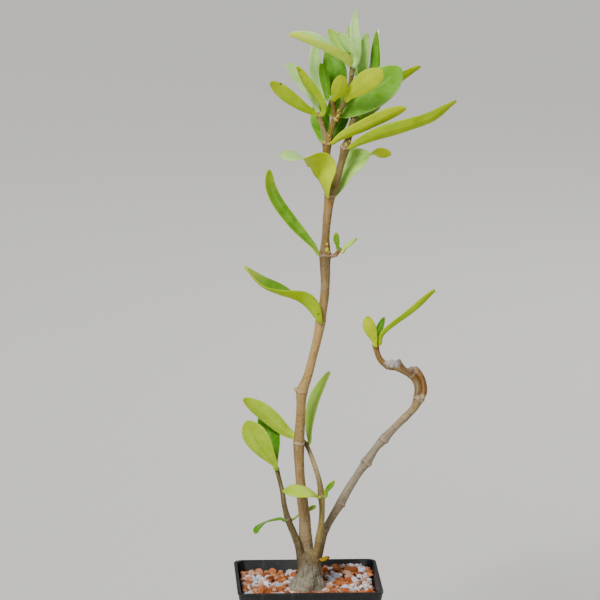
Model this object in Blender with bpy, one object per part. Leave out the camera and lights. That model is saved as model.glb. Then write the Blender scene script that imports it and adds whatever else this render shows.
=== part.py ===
"""Potted ant plant: a square nursery pot of coarse grit with a woody caudex, its stems and its leaves.

The part stands on the flat underside of the pot. Its origin is the centre of that face, +Z is up and the
front of the plant looks along -Y. Sizes in the lists below are millimetres, and MM turns them to metres.
"""

import math
import random
from collections import namedtuple

import bmesh
import bpy
from mathutils import Matrix, Vector

MM = 0.001
GAP = 0.3
MERGED_WITHIN = 0.002

# Pot: outer half widths of its square walls, and the heights where they apply.
POT_HEIGHT = 75.0
FOOT_HALF = 29.0
TAPER_HALF = 39.2
BAND_HALF = 39.6
LIP_HALF = 40.0
BAND_HEIGHT = 66.0
BAND_STEP = 0.8
LIP_DROP = 1.6
LIP_SLOPE = 0.4
RIM_EDGE = 0.3
INNER_EDGE = 0.2
FOOT_EDGE = 1.0
WALL = 1.0
FLOOR = 1.6
POT_CORNER = 3.6
CORNER_STEPS = 4
DRAIN_RADIUS = 3.5
DRAIN_OFFSET = 17.0
DRAIN_SIDES = 16

# Grit: its level, the drop to its plain bed, then the spacing and size of the grains that cover it, how far
# each is shifted and sunk, and how its shape is moved, squashed and tipped.
GRIT_LEVEL = 70.0
BED_DROP = 2.4
GRAIN_PITCH = 8.2
GRAIN_SIZE = (6.6, 9.4)
GRAIN_SHIFT = 1.3
GRAIN_SINK = 0.3
GRAIN_KEPT_IN = 0.64
CORNER_MOVE = (0.86, 1.14)
GRAIN_LONG = (0.9, 1.2)
GRAIN_BROAD = (0.75, 1.0)
GRAIN_LOW = (0.7, 0.9)
GRAIN_TIP = 0.6
GRIT_SEED = 23

# The mound at the back right, and the share of its reach that a plain dome fills under the grains.
MOUND_AT = (24.0, 26.0)
MOUND_REACH = 15.0
MOUND_HEIGHT = 4.6
DOME_SHARE = 0.72

# Caudex: (height, radius) down its side, and the plain hole that it stands in.
CAUDEX_AXIS = (-1.2, -3.0)
CAUDEX_RADIUS = 12.0
CAUDEX_PROFILE = [
    (84.5, 4.4), (81.0, 6.2), (77.5, 7.4), (74.5, 9.2), (72.0, 11.0), (69.5, 11.8),
    (66.0, CAUDEX_RADIUS), (59.0, CAUDEX_RADIUS), (53.0, 10.6), (49.5, 8.0), (47.5, 4.0),
]
CAUDEX_SIDES = 20
# Its root ribs: how many, how deep the valleys between them are as a share of the radius, the turn of the
# first one, and the heights over which they grow to their full depth.
ROOT_RIBS = 5
RIB_DEPTH = 0.1
RIB_TURN = 0.8
RIB_START = 71.0
RIB_REACH = 6.0
HOLE_BOTTOM = 47.0
HOLE_TOP = 85.0
STUB_LENGTH = 1.5

# Each branch runs through points of x, y, z and diameter. A branch named in STUBS starts in the caudex and
# ends there in a flat stub, and its stem stands on that stub.
BRANCHES = {
    "main": [
        (-0.2, -1, 76, 11.0), (-0.9, 0, 85, 8.6), (-1.5, 0, 91, 7.2), (-1.8, 0, 98.5, 6.7),
        (-2.6, 0, 109.5, 6.1), (-3.4, 0, 118, 5.8), (-4.6, 0, 129.5, 5.3), (-4.8, 0, 141, 5.5),
        (-4.9, 0, 150.5, 6.1), (-4.3, 0, 160.5, 5.5), (-3.7, 0, 172, 5.3), (-3.2, 0, 179.5, 6.1),
        (-1.5, 0, 187, 5.0), (1, 0, 196, 4.7), (3.7, 0, 208, 5.0), (5.9, 0, 218.5, 5.4),
        (7.8, 0, 225.5, 5.0), (9.1, 0, 233.5, 5.0), (9.6, 0, 242, 5.3), (9.4, 0, 255.5, 6.1),
        (9.7, 0, 264, 4.6), (10.2, 0, 272, 4.6), (11, 0, 280.5, 5.0), (12.1, 0, 288.5, 5.8),
    ],
    "fork_left": [
        (12, 0, 287.3, 5.2), (11.7, 1.5, 292.5, 4.4), (10.9, 2.5, 301, 4.4), (10.4, 3, 310.5, 4.4),
        (10.6, 3, 317, 5.2),
    ],
    "twig_left": [(10.5, 3, 315, 3.8), (9.2, 3, 322, 2.9), (7.6, 3, 327.5, 2.9), (6.2, 3, 332.5, 3.3)],
    "twig_right": [(10.5, 3, 315, 3.8), (12.5, 2, 322.5, 3.3), (13.8, 1, 328, 3.3), (14.8, 0, 331.5, 3.7)],
    "twig_inner": [(14.5, 0.2, 330, 2.8), (13.9, -1, 336, 2.3), (13.1, -1, 341.5, 2.7)],
    "twig_top": [
        (14.4, -0.2, 330.5, 2.6), (17.5, 0, 335.5, 2.8), (20.5, 0, 341, 3.3), (21.6, 0, 344, 2.3),
        (23, 0, 349.5, 2.3), (23.8, 0, 355, 2.6), (24.3, 0, 359.5, 3.0),
    ],
    "fork_right": [
        (11.8, 0, 287.5, 5.0), (15.1, 0, 294, 4.0), (17, 0, 301.5, 4.0), (18.7, 0, 308, 4.0),
        (20.3, 0, 314.5, 5.0), (22.6, 2, 320.5, 3.5), (24.3, 4, 327, 3.7), (26.1, 6, 332, 3.3),
        (28.5, 7, 337, 2.8), (30, 9, 342.5, 3.0),
    ],
    "left": [
        (-2.4, -3, 77, 5.4), (-5.6, -4.8, 85.5, 4.4), (-7.5, -4.4, 92.5, 3.9), (-9.6, -3.5, 100.5, 3.9),
        (-11.6, -2.5, 108, 3.6), (-13, -2, 115.5, 3.1), (-14.1, -2, 123, 2.8), (-15.7, -2, 130, 2.6),
        (-17.2, -2, 136.5, 2.8),
    ],
    "middle": [
        (2.0, -2.5, 78, 5.0), (4.4, -3.4, 86, 4.4), (5.9, -5, 96.5, 4.4), (7.1, -6, 105.5, 3.6),
        (7.6, -6, 114, 3.3), (7.3, -5, 121, 3.8), (6.3, -2, 129, 3.1), (3.8, 2, 137.5, 2.8),
        (1.2, 5, 144.5, 2.5), (-0.6, 7, 148, 2.6), (-3.3, 9, 151, 2.5),
    ],
    "hooked": [
        (3.4, 0, 76, 5.4), (7.4, 3.6, 84, 4.5), (9.6, 5, 93, 4.4), (11.3, 6, 99.5, 4.4),
        (13.8, 6, 106, 4.4), (18.2, 6, 115, 4.7), (23.2, 6, 123.5, 4.7), (28.4, 6, 133, 4.4),
        (31.7, 6, 139, 5.2), (36.4, 6, 146.5, 4.2), (41.1, 6, 152, 4.8), (46.9, 5, 158.5, 4.1),
        (52.9, 5, 164, 4.2), (57.9, 5, 169.5, 4.2), (61.3, 4, 174.5, 5.4),
    ],
    "hook_inner": [
        (60.6, 4, 173.2, 4.3), (60.9, 3.2, 177.5, 3.9), (60.6, 3, 182, 3.9), (58.2, 3, 186.5, 3.8),
        (53.8, 3, 189.5, 3.6), (48.8, 3, 192, 4.0), (44.4, 3, 193, 4.2), (40.8, 3, 195.5, 3.4),
        (38.6, 3, 199.5, 3.2), (37.5, 3, 204.5, 3.6),
    ],
    "hook_outer": [
        (60.4, 4, 173.4, 4.2), (63.8, 4, 176.8, 4.1), (64.1, 4.2, 181, 4.1), (62.7, 4.2, 186, 4.1),
        (60.1, 4, 189.5, 4.2),
    ],
    "hook_thin": [
        (62.4, 3, 180.5, 2.6), (60.9, 2.4, 185.2, 2.5), (57.1, 2, 188.8, 2.3), (53.1, 2, 191.9, 2.1),
        (50.3, 2, 195.2, 2.6),
    ],
    "shoot": [(9.4, 0, 255.5, 2.4), (14.2, -1.7, 255.5, 1.9), (17.5, -2, 258.8, 2.2)],
}
STUBS = ("main", "left", "middle", "hooked")
STEMS = {
    "stem_main": ("main", "fork_left", "twig_left", "twig_right", "twig_inner", "twig_top", "fork_right"),
    "stem_left": ("left",),
    "stem_middle": ("middle",),
    "stem_hooked": ("hooked", "hook_inner", "hook_outer", "hook_thin"),
}
THICK_SIDES = 10
THIN_SIDES = 6
THIN_BELOW = 3.4

# Leaves: the branch and the number of its point that each grows from, the free points of its midrib, its
# width, and the way that its upper face looks at even steps from its base to its tip. A cup above 0 raises
# the margins over the midrib. Full sets where the blade is widest and how blunt its tip is.
Leaf = namedtuple("Leaf", "name branch point route width faces cup full", defaults=(0.15, (1.6, 0.75)))
SPOON = (1.75, 0.62)
OVAL = (1.25, 0.6)
HANGING = (6.0, 0.7)

LEAVES = [
    Leaf("leaf_left_front", "left", 8,
         [(-18.7, -5, 140), (-23.2, -7, 146), (-29.2, -9, 155.5), (-33.8, -11, 165.7)],
         15.0, [(0.3, 0.9, 0.2)], 0.12, SPOON),
    Leaf("leaf_left_back", "left", 8,
         [(-18.2, 1.5, 140), (-19.5, 7, 147), (-21.5, 13, 155.5), (-25, 17, 164.5)],
         12.0, [(0.2, -0.9, 0.4)], 0.15, SPOON),
    Leaf("leaf_middle_left", "middle", 10,
         [(-7, 10, 152), (-13, 9, 156), (-23.5, 5, 166.5), (-35.8, 0, 176)],
         9.8, [(0.15, 0.95, 0.05)], 0.15, (1.3, 0.6)),
    Leaf("leaf_middle_right", "middle", 9,
         [(1.2, 9.5, 152), (1.5, 11, 160), (4.5, 13, 173), (12.5, 14, 188)],
         6.6, [(-0.4, -0.85, 0.2)], 0.2, (1.2, 0.6)),
    Leaf("leaf_middle_front", "middle", 5,
         [(4, -9, 123.5), (0, -13, 127.2), (-6, -17, 128.6), (-14.6, -19.5, 127.4)],
         14.4, [(-0.1, -0.45, 0.9)], -0.25, (1.25, 0.75)),
    Leaf("leaf_middle_small", "middle", 5, [(10, -5.5, 124.5), (12.5, -6.5, 128), (14.5, -7, 130.5)],
         3.2, [(0.3, -0.9, 0.3)], 0.1, SPOON),
    Leaf("sprout_left", "left", 4,
         [(-15, -5, 109), (-22.5, -8, 108.3), (-26.8, -9, 106), (-28.7, -9, 104.1), (-29.5, -9, 101.4)],
         3.4, [(0, -0.9, 0.3)], 0.1, HANGING),
    Leaf("sprout_back", "left", 4, [(-8.5, 3, 106.5), (-4, 6.5, 109), (1, 8, 111), (5, 8.5, 113)],
         2.6, [(0, -0.7, 0.7)], 0.1, HANGING),
    Leaf("leaf_low_yellow", "middle", 1, [(9.2, -5.4, 87), (11.8, -6.8, 89.6)],
         3.0, [(0, -0.8, 0.5)], 0.1, OVAL),
    Leaf("leaf_twisted", "main", 15,
         [(5.8, -5, 219.8), (0.8, -7, 228), (-7, -8, 232.6),
          (-16, -8, 235.6), (-25.4, -7.5, 240.4), (-34.8, -6, 250.6)],
         12.2, [(0.5, 0.85, 0.1), (0.35, 0.75, 0.45), (0.25, 0.05, 0.95),
                (0.15, -0.4, 0.9), (0.1, -0.42, 0.88)],
         0.68, (0.85, 0.6)),
    Leaf("leaf_rising", "main", 19,
         [(5, 1, 258), (0.6, 3, 263), (-7.6, 5, 272), (-16.2, 6, 283.5), (-20.5, 5.5, 293),
          (-21.2, 5, 302.4)],
         7.4, [(0.35, -0.9, 0.3)], 0.2, (1.5, 0.42)),
    Leaf("leaf_shoot_up", "shoot", 2, [(16.2, -3.2, 261.5), (15.3, -3.4, 265), (15.6, -3, 268.5)],
         3.6, [(0.2, -0.95, 0.2)], 0.1, SPOON),
    Leaf("leaf_shoot_side", "shoot", 2, [(20, -2.5, 260), (23, -3, 262.5), (26.5, -4, 265.5)],
         2.6, [(-0.3, -0.8, 0.5)], 0.1, OVAL),
    Leaf("leaf_fork_left", "main", 23,
         [(9.6, -5, 290.8), (7, -9.6, 297.6), (7.2, -9.2, 305.5), (2, -11.3, 309.8), (-15.9, -14, 313.2)],
         20.6, [(0.96, 0.17, -0.2), (0.92, 0.38, 0.13), (0.56, 0.77, 0.31), (0, -0.04, 1),
                (0.63, -0.55, 0.55)], 0.12, (1.04, 0.6)),
    Leaf("leaf_fork_right", "main", 23,
         [(16.6, 4, 291.5), (19.6, 6, 298), (24.6, 8.5, 305.5), (34, 9.5, 309.7), (46, 8, 310.4)],
         14.6, [(-0.5, -0.8, 0.2), (-0.35, -0.8, 0.45), (0, 0.85, 0.5)], 0.08, (1.4, 0.55)),
    Leaf("leaf_long_right", "fork_right", 4,
         [(24, -2.5, 316), (30, -5, 319.5), (39, -7, 323.5),
          (52.5, -8, 327.5), (67, -8, 332.5), (80.5, -6, 341.5)],
         9.8, [(0.1, 0.8, 0.6)], 0.18, (0.95, 0.7)),
    Leaf("leaf_second_right", "fork_left", 4,
         [(14.3, -0.5, 318.5), (20, -3.5, 322.5), (29, -6.5, 327), (41, -8.5, 333), (53, -9, 338)],
         9.2, [(0.1, 0.8, 0.6)], 0.18, (1.5, 0.48)),
    Leaf("leaf_broad", "twig_right", 3,
         [(17.8, 5, 333.4), (26, 3.8, 340), (34.5, 3.1, 345.6), (43, 3.4, 351.2), (51, 5, 358)],
         20.6, [(-0.15, -0.97, 0.18)], 0.08, (1.25, 0.55)),
    Leaf("leaf_behind_broad", "fork_right", 7,
         [(30, 9.5, 334.5), (38, 12.5, 341), (50, 15.5, 350), (62.5, 17, 357.5)],
         7.4, [(0.1, 0.8, 0.6)], 0.15, (1.3, 0.65)),
    Leaf("leaf_front_right", "twig_top", 2,
         [(22.5, -4.5, 344.5), (26.5, -8.5, 348.5), (32, -13, 353.5), (40, -17, 359)],
         11.8, [(0.2, 1, 0.1)], 0.1, (1.3, 0.42)),
    Leaf("leaf_front_oval", "twig_inner", 2,
         [(14.2, -5, 343), (15.8, -8, 346), (17, -11, 351), (17.3, -13, 356.3)],
         9.0, [(-0.1, 1, 0.2)], 0.1, (1.3, 0.42)),
    Leaf("leaf_far_left", "twig_left", 3,
         [(3, 0.5, 334), (-1.4, -2, 336.6), (-10.4, -5, 343.4), (-20.6, -8, 352.4)],
         8.8, [(0.4, 0.9, 0.2)], 0.1, (1.6, 0.48)),
    Leaf("leaf_left_rolled", "twig_left", 3,
         [(8.6, -1, 335.8), (6, -3, 341.5), (-0.4, -5, 350.5), (-6, -7, 360.4)],
         7.4, [(0.65, 0.75, 0.25)], 0.25, (1.3, 0.36)),
    Leaf("leaf_left_mint", "twig_left", 3,
         [(4.8, 6.4, 337), (2.6, 7.2, 343), (-3.6, 7.2, 352), (-11, 6, 360.2)],
         8.8, [(0.35, -0.88, 0.3)], 0.12, (1.9, 0.42)),
    Leaf("leaf_tall_left", "twig_left", 3,
         [(8.8, 6.5, 336.8), (8, 10, 344), (4.6, 12.2, 356.5), (4.4, 13, 371.5)],
         7.4, [(0.2, -0.95, 0.2)], 0.15, (1.5, 0.5)),
    Leaf("leaf_inner_green", "twig_inner", 2, [(10.2, 0.6, 344), (9.4, 4, 350), (7.6, 6.5, 360.5)],
         6.4, [(0.3, -0.9, 0.3)], 0.1, (1.5, 0.5)),
    Leaf("leaf_inner_small", "twig_right", 3, [(12.7, 3.8, 334.5), (15.4, 8, 338.5), (18.2, 10.4, 344)],
         7.0, [(0, -0.9, 0.4)], 0.1, OVAL),
    Leaf("leaf_inner_dark", "twig_inner", 2,
         [(14.2, 2.8, 343.5), (16, 12, 349.5), (15, 19.5, 358), (11.6, 24, 367)],
         13.0, [(0, -0.95, 0.3)], 0.1, (1.3, 0.6)),
    Leaf("leaf_arching", "twig_top", 6,
         [(21.5, -3.6, 361.6), (16.8, -6, 364.8), (9, -8.5, 369.3), (-1, -10, 374.1), (-10.6, -10, 378.1)],
         11.8, [(0.3, 0.72, 0.52), (0.1, -0.1, 1.0), (0, -0.2, 1.0), (0, 0.02, 1.0)], 0.9, (1.1, 0.36)),
    Leaf("leaf_crown_front", "twig_top", 6,
         [(25.7, -3, 364.5), (23.9, -4.8, 368.6), (20, -6.2, 373.5), (15.8, -7.2, 379.1)],
         7.0, [(0.2, 0.9, 0.3)], 0.12, (1.4, 0.48)),
    Leaf("leaf_crown_back", "twig_top", 6,
         [(21.6, 3.6, 363.5), (19, 6, 368), (15.5, 8, 373), (11.5, 9, 379)],
         6.6, [(0.2, -0.9, 0.3)], 0.12, (1.5, 0.5)),
    Leaf("leaf_crown_top", "twig_top", 6,
         [(27, 1.6, 364), (26.4, 2.5, 371), (25.4, 3, 381), (27, 3, 391.3)],
         6.0, [(0.1, -1, 0.1)], 0.12, (1.0, 0.8)),
    Leaf("leaf_crown_lobe", "twig_top", 5, [(25.4, 4.8, 360), (25, 7.7, 368), (22.3, 9.7, 380.5)],
         4.0, [(0.1, -1, 0.2)], 0.1, OVAL),
    Leaf("leaf_right_upright", "fork_right", 9,
         [(29.4, 7.2, 347), (30, 8, 356), (31, 8, 366.5), (32.3, 7, 377)],
         6.0, [(0.05, -1, 0.1)], 0.12, (1.4, 0.5)),
    Leaf("leaf_right_small", "fork_right", 9,
         [(33.4, 12, 346.5), (35.8, 14.5, 355), (36.4, 14.5, 364)],
         4.6, [(0, -1, 0.1)], 0.1, OVAL),
    Leaf("leaf_right_folded", "fork_right", 9,
         [(34.4, 8.6, 346.2), (38, 10, 353), (38.6, 10.5, 364), (38.6, 10, 378.4)],
         7.6, [(-0.7, -0.65, 0.2)], 0.45, (1.3, 0.6)),
    Leaf("leaf_under_left", "fork_left", 4,
         [(8.1, 6.8, 321), (7.2, 9.5, 327), (7.1, 11.5, 333.5), (7, 12, 340.5)],
         11.0, [(0, -0.9, 0.4)], 0.1, OVAL),
    Leaf("leaf_under_right", "fork_left", 4,
         [(13.2, 7.2, 320), (17.2, 10.8, 326), (19.7, 13.4, 332), (21.2, 15.4, 338.5)],
         9.0, [(-0.1, -0.9, 0.4)], 0.1, OVAL),
    Leaf("leaf_hook_oval", "hook_inner", 9,
         [(36.4, -0.6, 208.4), (34.8, -2, 212.5), (33.2, -3, 217.2), (32.6, -3, 222)],
         7.4, [(0.2, 0.95, 0.2)], 0.1, (1.5, 0.45)),
    Leaf("leaf_hook_small", "hook_inner", 9, [(38, 6, 208.5), (40, 7, 213.5), (42.5, 7.5, 219.5)],
         4.2, [(-0.2, -0.9, 0.3)], 0.1, OVAL),
    Leaf("leaf_hook_long", "hook_inner", 9,
         [(39.8, 1.4, 208.2), (41.4, 0.5, 211.8), (47.5, -2, 217.5), (57.5, -4, 225.5), (69.4, -5, 236.8)],
         5.2, [(-0.42, 0.69, 0.41)], 0.15, (1.35, 0.42)),
    Leaf("leaf_rear_right", "fork_right", 4,
         [(22, 5, 318.5), (26, 12, 325), (33, 20, 330.5), (41, 28, 334)],
         9.4, [(-0.1, -0.25, 0.95)], 0.15, SPOON),
    Leaf("leaf_rear_fork", "main", 23, [(11, 8, 289.2), (11.5, 15, 294), (11.5, 22, 298.5), (10, 30, 301)],
         10.0, [(0.2, -0.3, 0.95)], 0.15, SPOON),
    Leaf("leaf_rear_upright", "fork_right", 9,
         [(29.5, 13.6, 346.5), (29.5, 19, 353), (29.5, 23.5, 362), (28.5, 26, 371)],
         8.0, [(0, -0.75, 0.65)], 0.15, SPOON),
]
LEAF_THICKNESS = 0.8
STALK_START = 1.0
CURVE_STEPS = 12
STALK_WIDTH = 1.7
STALK_SHARE = 0.45
TIP_WIDTH = 0.9
LONG_LEAF = 24.0
LONG_CELLS = (8, 4)
SHORT_CELLS = (6, 2)

# A yellow bud in the leaf axil above the shoot.
BUD_CENTRE = (10.6, -3.9, 259.0)
BUD_SIZE = (1.1, 1.1, 1.8)


def make_material(name, colour, roughness):
    """A plain surface of one colour."""
    material = bpy.data.materials.new(name)
    material.use_nodes = True
    shader = material.node_tree.nodes["Principled BSDF"]
    shader.inputs["Base Color"].default_value = (*colour, 1.0)
    shader.inputs["Roughness"].default_value = roughness
    shader.inputs["Metallic"].default_value = 0.0
    return material


def add_object(name, mesh, material=None):
    piece = bpy.data.objects.new(name, mesh)
    bpy.context.scene.collection.objects.link(piece)
    if material:
        mesh.materials.clear()
        mesh.materials.append(material)
    return piece


def mesh_from(bm, name):
    """The mesh of a finished bmesh, with its faces pointing out."""
    bmesh.ops.recalc_face_normals(bm, faces=bm.faces)
    mesh = bpy.data.meshes.new(name)
    bm.to_mesh(mesh)
    bm.free()
    return mesh


def drop_scraps(bm):
    """Leaves the largest body only: a Boolean can leave a loose scrap beside it."""
    unseen = set(bm.verts)
    bodies = []
    while unseen:
        body = [unseen.pop()]
        for corner in body:
            for edge in corner.link_edges:
                other = edge.other_vert(corner)
                if other in unseen:
                    unseen.discard(other)
                    body.append(other)
        bodies.append(body)
    bodies.sort(key=len)
    scraps = [corner for body in bodies[:-1] for corner in body]
    bmesh.ops.delete(bm, geom=scraps, context="VERTS")


def baked_mesh(piece):
    """A copy of the object's mesh with its modifiers applied, doubled points merged and no loose scraps."""
    bpy.context.view_layer.update()
    graph = bpy.context.evaluated_depsgraph_get()
    mesh = bpy.data.meshes.new_from_object(piece.evaluated_get(graph))
    bm = bmesh.new()
    bm.from_mesh(mesh)
    bmesh.ops.remove_doubles(bm, verts=bm.verts, dist=MERGED_WITHIN * MM)
    drop_scraps(bm)
    bm.to_mesh(mesh)
    bm.free()
    return mesh


def join_all(name, body, others, material):
    """One solid from a body and the shapes that grow out of it."""
    group = bpy.data.collections.new(name + "_shapes")
    bpy.context.scene.collection.children.link(group)
    for other in others:
        bpy.context.scene.collection.objects.unlink(other)
        group.objects.link(other)
    union = body.modifiers.new("union", "BOOLEAN")
    union.operation = "UNION"
    union.operand_type = "COLLECTION"
    union.collection = group
    mesh = baked_mesh(body)
    for piece in [body, *others]:
        bpy.data.objects.remove(piece, do_unlink=True)
    bpy.data.collections.remove(group)
    joined = add_object(name, mesh, material)
    mesh.name = name
    return joined


def cut_from(piece, cutter):
    """Cuts one shape out of a piece, and removes the cutter."""
    difference = piece.modifiers.new("cut", "BOOLEAN")
    difference.operation = "DIFFERENCE"
    difference.object = cutter
    mesh = baked_mesh(piece)
    piece.modifiers.clear()
    piece.data = mesh
    bpy.data.objects.remove(cutter, do_unlink=True)


def upright_cylinder(radius, bottom, top, centre, sides):
    bm = bmesh.new()
    middle = Matrix.Translation(Vector((*centre, (bottom + top) / 2)) * MM)
    bmesh.ops.create_cone(
        bm, cap_ends=True, segments=sides, radius1=radius * MM, radius2=radius * MM,
        depth=(top - bottom) * MM, matrix=middle,
    )
    return add_object("cutter", mesh_from(bm, "cutter"))


def square_tower(levels, corner):
    """A solid whose square section, with rounded corners, passes through (half width, height) levels."""
    bm = bmesh.new()
    half, height = levels[0]
    bmesh.ops.create_grid(bm, x_segments=1, y_segments=1, size=half * MM)
    bmesh.ops.translate(bm, verts=bm.verts, vec=(0, 0, height * MM))
    bmesh.ops.bevel(
        bm, geom=bm.verts[:], offset=corner * MM, offset_type="OFFSET", affect="VERTICES",
        segments=CORNER_STEPS, profile=0.5, material=-1,
    )
    top = bm.faces[:]
    for next_half, next_height in levels[1:]:
        grown = bmesh.ops.extrude_face_region(bm, geom=top)["geom"]
        if height > levels[0][1]:
            bmesh.ops.delete(bm, geom=top, context="FACES_ONLY")
        ring = [item for item in grown if isinstance(item, bmesh.types.BMVert)]
        top = [item for item in grown if isinstance(item, bmesh.types.BMFace)]
        scale = next_half / half
        bmesh.ops.scale(bm, verts=ring, vec=(scale, scale, 1.0))
        bmesh.ops.translate(bm, verts=ring, vec=(0, 0, (next_height - height) * MM))
        half, height = next_half, next_height
    return bm


def taper_half(height):
    """Outer half width of the tapering wall at a height."""
    return FOOT_HALF + (TAPER_HALF - FOOT_HALF) * height / POT_HEIGHT


def build_pot():
    band_foot = taper_half(BAND_HEIGHT) + (BAND_HALF - TAPER_HALF)
    levels = [
        (FOOT_HALF - FOOT_EDGE, 0.0),
        (FOOT_HALF, FOOT_EDGE),
        (taper_half(BAND_HEIGHT - BAND_STEP), BAND_HEIGHT - BAND_STEP),
        (band_foot, BAND_HEIGHT),
        (BAND_HALF, POT_HEIGHT - LIP_DROP),
        (LIP_HALF, POT_HEIGHT - LIP_DROP + LIP_SLOPE),
        (LIP_HALF, POT_HEIGHT - RIM_EDGE),
        (LIP_HALF - RIM_EDGE, POT_HEIGHT),
        (TAPER_HALF - WALL + INNER_EDGE, POT_HEIGHT),
        (TAPER_HALF - WALL, POT_HEIGHT - RIM_EDGE),
        (taper_half(FLOOR) - WALL, FLOOR),
    ]
    bm = square_tower(levels, POT_CORNER)
    plastic = make_material("black polypropylene", (0.012, 0.013, 0.014), 0.42)
    pot = add_object("pot", mesh_from(bm, "pot"), plastic)
    for side_x in (-1, 1):
        for side_y in (-1, 1):
            centre = (side_x * DRAIN_OFFSET, side_y * DRAIN_OFFSET)
            cut_from(pot, upright_cylinder(DRAIN_RADIUS, -FLOOR, 2 * FLOOR, centre, DRAIN_SIDES))
    pot.data.materials.append(plastic)


def grit_height(x, y):
    """Level of the grit, which is mounded up at the back right."""
    away = (x - MOUND_AT[0]) ** 2 + (y - MOUND_AT[1]) ** 2
    return GRIT_LEVEL + MOUND_HEIGHT * math.exp(-away / MOUND_REACH ** 2)


def build_grain(draw, centre, size):
    """One sharp-edged grain: a squashed and turned ball of twenty faces with its corners moved."""
    bm = bmesh.new()
    bmesh.ops.create_icosphere(bm, subdivisions=1, radius=size / 2 * MM)
    for corner in bm.verts:
        corner.co *= draw.uniform(*CORNER_MOVE)
    squash = (draw.uniform(*GRAIN_LONG), draw.uniform(*GRAIN_BROAD), draw.uniform(*GRAIN_LOW))
    bmesh.ops.scale(bm, verts=bm.verts, vec=squash)
    turn = Matrix.Rotation(draw.uniform(0, math.tau), 3, "Z")
    tip = Matrix.Rotation(draw.uniform(-GRAIN_TIP, GRAIN_TIP), 3, "X")
    bmesh.ops.rotate(bm, verts=bm.verts, matrix=turn @ tip)
    bmesh.ops.translate(bm, verts=bm.verts, vec=Vector(centre) * MM)
    return add_object("grain", mesh_from(bm, "grain"))


def build_mound():
    """The low dome of grit under the grains at the back right."""
    bm = bmesh.new()
    bmesh.ops.create_icosphere(bm, subdivisions=2, radius=MM)
    reach = MOUND_REACH * DOME_SHARE
    bmesh.ops.scale(bm, verts=bm.verts, vec=(reach, reach, MOUND_HEIGHT))
    bmesh.ops.translate(bm, verts=bm.verts, vec=Vector((*MOUND_AT, GRIT_LEVEL - BED_DROP)) * MM)
    return add_object("mound", mesh_from(bm, "mound"))


def build_grit():
    """The grit as one body that fills the pot under coarse grains, with a plain hole for the caudex."""
    draw = random.Random(GRIT_SEED)
    bed_top = GRIT_LEVEL - BED_DROP
    inset = WALL + GAP
    levels = [(taper_half(FLOOR) - inset, FLOOR + GAP), (taper_half(bed_top) - inset, bed_top)]
    bed = add_object("bed", mesh_from(square_tower(levels, POT_CORNER), "bed"))
    reach = taper_half(GRIT_LEVEL) - inset
    rows = int(2 * reach / GRAIN_PITCH)
    grains = [build_mound()]
    for column in range(rows + 1):
        for row in range(rows + 1):
            size = draw.uniform(*GRAIN_SIZE)
            limit = reach - size * GRAIN_KEPT_IN
            x = (column - rows / 2) * GRAIN_PITCH + draw.uniform(-GRAIN_SHIFT, GRAIN_SHIFT)
            y = (row - rows / 2) * GRAIN_PITCH + draw.uniform(-GRAIN_SHIFT, GRAIN_SHIFT)
            x = max(-limit, min(limit, x))
            y = max(-limit, min(limit, y))
            grains.append(build_grain(draw, (x, y, grit_height(x, y) - size * GRAIN_SINK), size))
    grit = join_all("grit", bed, grains, None)
    cut_from(grit, upright_cylinder(CAUDEX_RADIUS + GAP, HOLE_BOTTOM, HOLE_TOP, CAUDEX_AXIS, CAUDEX_SIDES))
    grit.data.materials.append(make_material("fired clay and pumice grit", (0.50, 0.20, 0.09), 0.9))


def spline_points(points, count_between):
    """A smooth curve through the points, as a list of vectors of any length."""
    given = [Vector(point) for point in points]
    ends = [given[0] * 2 - given[1], *given, given[-1] * 2 - given[-2]]
    smooth = []
    for before, start, end, after in zip(ends, ends[1:], ends[2:], ends[3:]):
        for step in range(count_between):
            t = step / count_between
            smooth.append(
                0.5 * (2 * start + (end - before) * t + (2 * before - 5 * start + 4 * end - after) * t * t
                       + (3 * start - before - 3 * end + after) * t ** 3)
            )
    return [*smooth, given[-1]]


def build_tube(name, points, sides):
    """A round bar with filled ends through points of x, y, z and diameter."""
    curve = bpy.data.curves.new(name, "CURVE")
    curve.dimensions = "3D"
    curve.bevel_depth = MM
    curve.bevel_resolution = sides // 2 - 2
    curve.use_fill_caps = True
    spline = curve.splines.new("POLY")
    spline.points.add(len(points) - 1)
    for place, (x, y, z, diameter) in zip(spline.points, points):
        place.co = (x * MM, y * MM, z * MM, 1.0)
        place.radius = diameter / 2
    bar = add_object(name, curve)
    mesh = baked_mesh(bar)
    bpy.data.objects.remove(bar, do_unlink=True)
    return add_object(name, mesh)


def stub_end(points):
    """Where a stem leaves its stub: a short way past its second point, with the same diameter."""
    start, after = Vector(points[1][:3]), Vector(points[2][:3])
    along = (after - start).normalized()
    return start + along * STUB_LENGTH, along, points[1][3]


def stem_points(branch):
    """The branch's own points, without the part that stays on the caudex."""
    points = BRANCHES[branch]
    if branch not in STUBS:
        return points
    end, along, diameter = stub_end(points)
    return [(*(end + along * GAP), diameter), *points[2:]]


def build_stem(name, branches, material):
    tubes = []
    for branch in branches:
        points = stem_points(branch)
        thickest = max(point[3] for point in points[1:])
        tubes.append(build_tube(branch, points, THIN_SIDES if thickest < THIN_BELOW else THICK_SIDES))
    return join_all(name, tubes[0], tubes[1:], material)


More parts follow.
